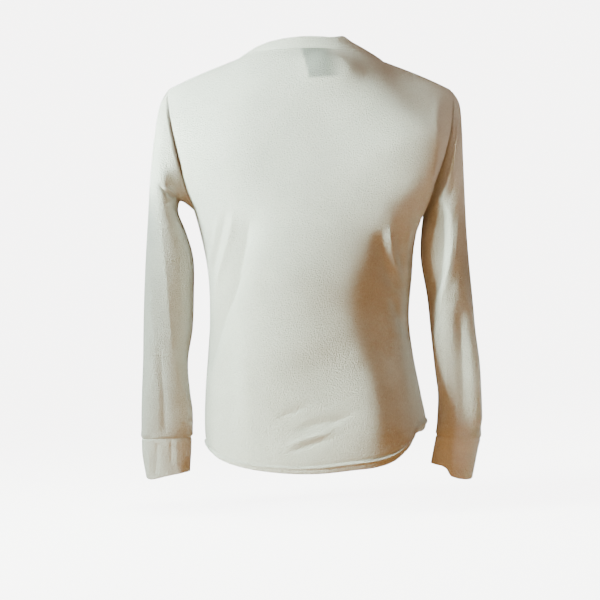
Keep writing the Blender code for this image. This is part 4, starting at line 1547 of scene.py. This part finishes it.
def label_shape(sizes):
    """The label's points, just inside the back panel below the neck band."""
    back = garment(sizes)["back_panel"]["inner"]
    across, lower, upper = panel_places()
    columns = np.interp(np.linspace(*LABEL_ACROSS, LABEL_STEPS + 1), across, np.arange(len(across)))
    heights = np.linspace(*LABEL_UP, LABEL_STEPS + 1)
    rows = len(lower) + np.interp(heights, upper, np.arange(len(upper)))
    inward = -grid_normals(back, False)
    points = np.empty((LABEL_STEPS + 1, LABEL_STEPS + 1, 3))
    for i, row in enumerate(rows):
        for j, place in enumerate(columns):
            a, b = min(int(row), back.shape[0] - 2), min(int(place), back.shape[1] - 2)
            p, q = row - a, place - b
            low = back[a, b] * (1 - q) + back[a, b + 1] * q
            high = back[a + 1, b] * (1 - q) + back[a + 1, b + 1] * q
            points[i, j] = low * (1 - p) + high * p + inward[a, b] * LABEL_INSET
    normals = grid_normals(points, False)
    across, along, total = flow(points, False)
    return {
        "outer": points,
        "inner": points - normals * LABEL_THICKNESS,
        "closed": False,
        "across": across,
        "along": along,
        "total": total,
    }


class TOP_OT_label(bpy.types.Operator):
    """Makes the blank label inside the back."""

    bl_idname = "thermal_top.label"
    bl_label = "Label"

    def execute(self, context):
        sizes, colours = settings(context)
        shape = label_shape(sizes)
        piece = shell("label_cloth", shape, finish_named("Woven label", colours), near_rim=True)
        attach(piece, "root")
        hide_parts("label")
        return {"FINISHED"}


def line_above_edge(shape, distance):
    """A line of points on the cloth, at a distance from its edge, with the cloth's normals."""
    outer = shape["outer"]
    along = lengths_along(outer, 0)
    distance = np.broadcast_to(distance, outer.shape[1:2])
    normals = grid_normals(outer, shape["closed"])
    points, towards = [], []
    for j in range(outer.shape[1]):
        knots = along[:, j]
        rows = np.interp(distance[j], knots, np.arange(len(knots)))
        i = min(int(rows), len(knots) - 2)
        share = rows - i
        points.append(outer[i, j] * (1 - share) + outer[i + 1, j] * share)
        towards.append(normals[i, j] * (1 - share) + normals[i + 1, j] * share)
    return np.array(points), np.array(towards)


def spread(points, normals, step, closed):
    """Even places along a line: their points, directions and normals."""
    if closed:
        points = np.vstack([points, points[:1]])
        normals = np.vstack([normals, normals[:1]])
    knots = np.concatenate([[0], np.cumsum(np.linalg.norm(np.diff(points, axis=0), axis=1))])
    amount = round(knots[-1] / step)
    places = (np.arange(amount) + 0.5) * knots[-1] / amount

    def read(values, at):
        return np.stack([np.interp(at, knots, values[:, k]) for k in range(3)], axis=-1)

    centre, facing = read(points, places), read(normals, places)
    along = read(points, places + step / 4) - centre
    along /= np.linalg.norm(along, axis=1, keepdims=True)
    facing -= along * (facing * along).sum(1, keepdims=True)
    facing /= np.linalg.norm(facing, axis=1, keepdims=True)
    return centre, along, facing


def one_stitch(sizes):
    """Models one stitch: a short bar of thread whose ends go down into the cloth."""
    bpy.ops.object.select_all(action="DESELECT")
    bpy.ops.mesh.primitive_cylinder_add(
        vertices=6,
        radius=sizes.thread,
        depth=sizes.stitch * STITCH_FLAT,
        end_fill_type="NGON",
        rotation=(0, math.pi / 2, 0),
    )
    stitch = bpy.context.object
    bpy.ops.object.transform_apply(location=True, rotation=True, scale=True)
    bpy.ops.object.mode_set(mode="EDIT")
    bpy.ops.mesh.select_mode(type="FACE")
    for end in (1, -1):
        for drop in STITCH_DROPS:
            select_faces(stitch, lambda face: face.normal.x * end > 0.6)
            move = (end * sizes.stitch * STITCH_BEND, 0, -sizes.thread * drop)
            bpy.ops.mesh.extrude_region_move(TRANSFORM_OT_translate={"value": move})
            bpy.ops.transform.resize(value=(1, STITCH_TAPER, STITCH_TAPER))
    bpy.ops.object.mode_set(mode="OBJECT")
    bpy.ops.object.shade_smooth()
    return stitch


def select_faces(piece, wanted):
    """Selects the faces of the mesh being edited that the test wants, and no others."""
    cloth = bmesh.from_edit_mesh(piece.data)
    for face in cloth.faces:
        face.select_set(wanted(face))
    cloth.select_flush_mode()
    bmesh.update_edit_mesh(piece.data)


def sorted_mesh(mesh):
    """The mesh's corners and faces in one fixed order, because extruding can shuffle them."""
    corners = np.array([vertex.co for vertex in mesh.vertices])
    order = np.lexsort(np.round(corners, 7).T)
    rank = np.argsort(order)
    faces = []
    for polygon in mesh.polygons:
        loop = [int(rank[v]) for v in polygon.vertices]
        first = loop.index(min(loop))
        faces.append(tuple(loop[first:] + loop[:first]))
    return corners[order], sorted(faces)


def row_of(model, name, lines, sizes):
    """Copies a modelled stitch along lines of points, into one mesh."""
    corners, faces = sorted_mesh(model.data)
    blocks, joined, count = [], [], 0
    for centre, along, facing in lines:
        beside = np.cross(facing, along)
        for place, x, y, z in zip(centre, along, beside, facing):
            lifted = place + z * sizes.thread * STITCH_LIFT
            blocks.append(lifted + corners @ np.array([x, y, z]))
            joined += [tuple(v + count for v in face) for face in faces]
            count += len(corners)
    mesh = bpy.data.meshes.new(name)
    mesh.from_pydata(np.concatenate(blocks).tolist(), [], joined)
    mesh.shade_smooth()
    piece = bpy.data.objects.new(name, mesh)
    bpy.context.scene.collection.objects.link(piece)
    return piece


class TOP_OT_stitches(bpy.types.Operator):
    """Sews the hems and the neck band with rows of stitches."""

    bl_idname = "thermal_top.stitches"
    bl_label = "Stitches"

    def execute(self, context):
        sizes, colours = settings(context)
        shapes = garment(sizes)
        model = one_stitch(sizes)
        rows = {}
        for face, name in ((1, "back_panel"), (-1, "front_panel")):
            width = hem_widths(sizes)[::face]
            lines = []
            for above in (width, width - HEM_ROW_GAP):
                line, normals = line_above_edge(shapes[name], above)
                lines.append(spread(line, normals, sizes.stitch_step, False))
            rows[name.replace("panel", "hem_stitches")] = lines
        line, normals = line_above_edge(shapes["neck_band"], NECK_ROW_UP)
        rows["neck_stitches"] = [spread(line, normals, sizes.stitch_step, True)]
        for name, lines in rows.items():
            piece = row_of(model, name, lines, sizes)
            piece.data.materials.append(finish_named("Sewing thread", colours))
            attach(piece, "root")
        bpy.data.objects.remove(model, do_unlink=True)
        return {"FINISHED"}


# The ground: its height, its level part, the curve up to the wall, and the wall's height.
STAGE_Z = -0.70
STAGE_RADIUS = 3.2
STAGE_CURVE = 1.4
STAGE_HEIGHT = 3.6
STAGE_SIDES = 96
STAGE_STEPS = 10
GROUND = {
    "Roughness": 1.0,
    "Specular IOR Level": 0.0,
    "Emission Color": (1.0, 1.0, 1.0, 1.0),
    "Emission Strength": 6.1,
}

# Lamps are rectangles, and their light goes out in a cone of the spread's angle, in degrees.
Lamp = namedtuple("Lamp", "name place aim wide high spread power colour")
LAMPS = (
    Lamp("key", (2.59, 1.36, 0.22), (-0.04, 0.06, -0.24), 0.9, 1.0, 50, 38.5, (0.82, 1.0, 0.85)),
    Lamp("top", (0.5, 0.6, 2.1), (-0.1, 0.0, -0.1), 1.4, 1.4, 180, 17.0, (0.95, 0.96, 0.88)),
    Lamp("wall", (-1.9, 0.9, 0.0), (-0.225, 0.03, -0.165), 0.12, 0.12, 11, 0.085,
         (1.0, 0.88, 0.72)),
    Lamp("left", (1.9, 1.2, 0.6), (0.20, 0.05, -0.12), 0.1, 0.1, 11, 0.60, (0.82, 1.0, 0.90)),
    Lamp("floor", (0.15, 0.95, -1.35), (-0.02, 0.1, -0.5), 0.8, 0.6, 180, 6.3, (1.0, 0.48, 0.14)),
    Lamp("right", (-2.08, 0.49, -0.62), (-0.243, 0.0, -0.50), 0.1, 0.25, 8, 0.08,
         (0.85, 1.0, 0.90)),
)
ROOM_LIGHT = (0.25, 0.125, 0.050)

# The thin net beside the left sleeve: its middle, its size, its turn, and what it lets through.
SCRIM_PLACE = (0.368, 0.083, -0.43)
SCRIM_SIZE = (0.13, 0.46)
SCRIM_TURN = 58.0
SCRIM_CLEAR = (0.44, 0.47, 0.50)

# The camera's lens and sensor in millimetres, and how near and far it sees in metres.
LENS = 85.17
SENSOR = 36.0
SEES = (0.05, 50.0)


def stage_material(colours):
    """Plain pale paint that glows a little, so that the ground is even all over."""
    made = bpy.data.materials.new("Pale ground")
    made.use_nodes = True
    shader = made.node_tree.nodes["Principled BSDF"]
    shader.inputs["Base Color"].default_value = (*colours.floor, 1.0)
    for socket, value in GROUND.items():
        shader.inputs[socket].default_value = value
    return made


def select_ring(piece, height):
    """Selects the edges of the mesh being edited that lie level at a height, and no others."""
    bpy.ops.mesh.select_all(action="DESELECT")
    room = bmesh.from_edit_mesh(piece.data)
    for edge in room.edges:
        edge.select_set(all(abs(vertex.co.z - height) < MM for vertex in edge.verts))
    bmesh.update_edit_mesh(piece.data)


def make_ground(context, colours):
    """The floor, which curves up to a wall all round."""
    bpy.ops.object.select_all(action="DESELECT")
    bpy.ops.mesh.primitive_circle_add(
        vertices=STAGE_SIDES, radius=STAGE_RADIUS, fill_type="NOTHING", location=(0, 0, STAGE_Z)
    )
    ground = context.object
    ground.name = "ground"
    bpy.ops.object.transform_apply(location=True, rotation=True, scale=True)
    turns = math.pi / 2 * np.arange(1, STAGE_STEPS + 1) / STAGE_STEPS
    profile = [
        (STAGE_RADIUS + STAGE_CURVE * math.sin(turn), STAGE_CURVE * (1 - math.cos(turn)))
        for turn in turns
    ]
    profile.append((profile[-1][0], profile[-1][1] + STAGE_HEIGHT))
    bpy.ops.object.mode_set(mode="EDIT")
    bpy.ops.mesh.select_mode(type="EDGE")
    radius, height = STAGE_RADIUS, 0.0
    for wider, higher in profile:
        select_ring(ground, STAGE_Z + height)
        bpy.ops.mesh.extrude_edges_move(TRANSFORM_OT_translate={"value": (0, 0, higher - height)})
        bpy.ops.transform.resize(
            value=(wider / radius, wider / radius, 1), center_override=(0, 0, STAGE_Z)
        )
        radius, height = wider, higher
    select_ring(ground, STAGE_Z)
    bpy.ops.mesh.edge_face_add()
    bpy.ops.mesh.select_all(action="SELECT")
    bpy.ops.mesh.normals_make_consistent(inside=True)
    bpy.ops.object.mode_set(mode="OBJECT")
    bpy.ops.object.shade_smooth_by_angle(angle=math.radians(40))
    ground.data.materials.append(stage_material(colours))
    ground.visible_diffuse = False
    ground.visible_glossy = False
    ground.visible_shadow = False


class TOP_OT_stage(bpy.types.Operator):
    """Makes the floor that curves up to a wall, the lights and the camera."""

    bl_idname = "thermal_top.stage"
    bl_label = "Stage"

    def execute(self, context):
        _, colours = settings(context)
        make_ground(context, colours)
        make_scrim(context)
        make_lights(context)
        make_camera(context)
        return {"FINISHED"}


def make_scrim(context):
    """A thin net beside the left sleeve, which takes some of the lamp's light from it."""
    bpy.ops.object.select_all(action="DESELECT")
    bpy.ops.mesh.primitive_plane_add(
        size=1.0, location=SCRIM_PLACE, rotation=(math.pi / 2, 0.0, -math.radians(SCRIM_TURN))
    )
    net = context.object
    net.name = "scrim"
    net.scale = (*SCRIM_SIZE, 1.0)
    bpy.ops.object.transform_apply(location=True, rotation=True, scale=True)
    made = bpy.data.materials.new("Thin net")
    made.use_nodes = True
    tree = made.node_tree
    tree.nodes.remove(tree.nodes["Principled BSDF"])
    clear = add_node(tree, "ShaderNodeBsdfTransparent", inputs={0: (*SCRIM_CLEAR, 1.0)})
    tree.links.new(clear.outputs[0], tree.nodes["Material Output"].inputs["Surface"])
    net.data.materials.append(made)
    net.visible_camera = False
    net.visible_diffuse = False
    net.visible_glossy = False


def make_lights(context):
    """A large cool lamp at the left, weaker ones round the garment, and a dim warm room."""
    for row in LAMPS:
        lamp = bpy.data.lights.new(row.name, "AREA")
        lamp.shape = "RECTANGLE"
        lamp.size, lamp.size_y = row.wide, row.high
        lamp.spread = math.radians(row.spread)
        lamp.energy = row.power
        lamp.color = row.colour
        item = bpy.data.objects.new(row.name, lamp)
        item.location = row.place
        towards = Vector(row.aim) - Vector(row.place)
        item.rotation_euler = towards.to_track_quat("-Z", "Y").to_euler()
        context.scene.collection.objects.link(item)
    world = bpy.data.worlds.new("Room")
    world.use_nodes = True
    world.node_tree.nodes["Background"].inputs[0].default_value = (*ROOM_LIGHT, 1.0)
    context.scene.world = world


def make_camera(context):
    """The camera stands 2.2 m behind the top, at the height of its middle."""
    lens = bpy.data.cameras.new("camera")
    lens.sensor_fit = "HORIZONTAL"
    lens.sensor_width = SENSOR
    lens.lens = LENS
    lens.clip_start, lens.clip_end = SEES
    camera = bpy.data.objects.new("camera", lens)
    camera.location = VIEWPOINT
    camera.rotation_euler = (math.pi / 2, 0.0, math.pi)
    context.scene.collection.objects.link(camera)
    context.scene.camera = camera


OPERATORS = (
    TOP_OT_body,
    TOP_OT_sleeves,
    TOP_OT_cuffs,
    TOP_OT_neck_band,
    TOP_OT_label,
    TOP_OT_stitches,
    TOP_OT_stage,
)


class TOP_PT_pieces(bpy.types.Panel):
    """Lists the garment's pieces in the sidebar."""

    bl_idname = "TOP_PT_pieces"
    bl_label = "Thermal top"
    bl_space_type = "VIEW_3D"
    bl_region_type = "UI"
    bl_category = "Thermal top"

    def draw(self, context):
        """Shows each size and colour, and a button for each operator."""
        layout = self.layout
        for group in settings(context):
            for name in group.bl_rna.properties.keys():
                if name not in ("rna_type", "name"):
                    layout.prop(group, name)
        for operator in OPERATORS:
            layout.operator(operator.bl_idname)


CLASSES = (TopSizes, TopColours, *OPERATORS, TOP_PT_pieces)


def register():
    """Registers the sizes, the colours, the operators and the panel."""
    for item in CLASSES:
        bpy.utils.register_class(item)
    bpy.types.Scene.top_sizes = bpy.props.PointerProperty(type=TopSizes)
    bpy.types.Scene.top_colours = bpy.props.PointerProperty(type=TopColours)


def unregister():
    """Takes out all that register puts in."""
    del bpy.types.Scene.top_colours
    del bpy.types.Scene.top_sizes
    for item in reversed(CLASSES):
        bpy.utils.unregister_class(item)


def main():
    """Makes the garment and its stage."""
    register()
    for operator in OPERATORS:
        group, name = operator.bl_idname.split(".")
        getattr(getattr(bpy.ops, group), name)()


if __name__ == "__main__":
    main()
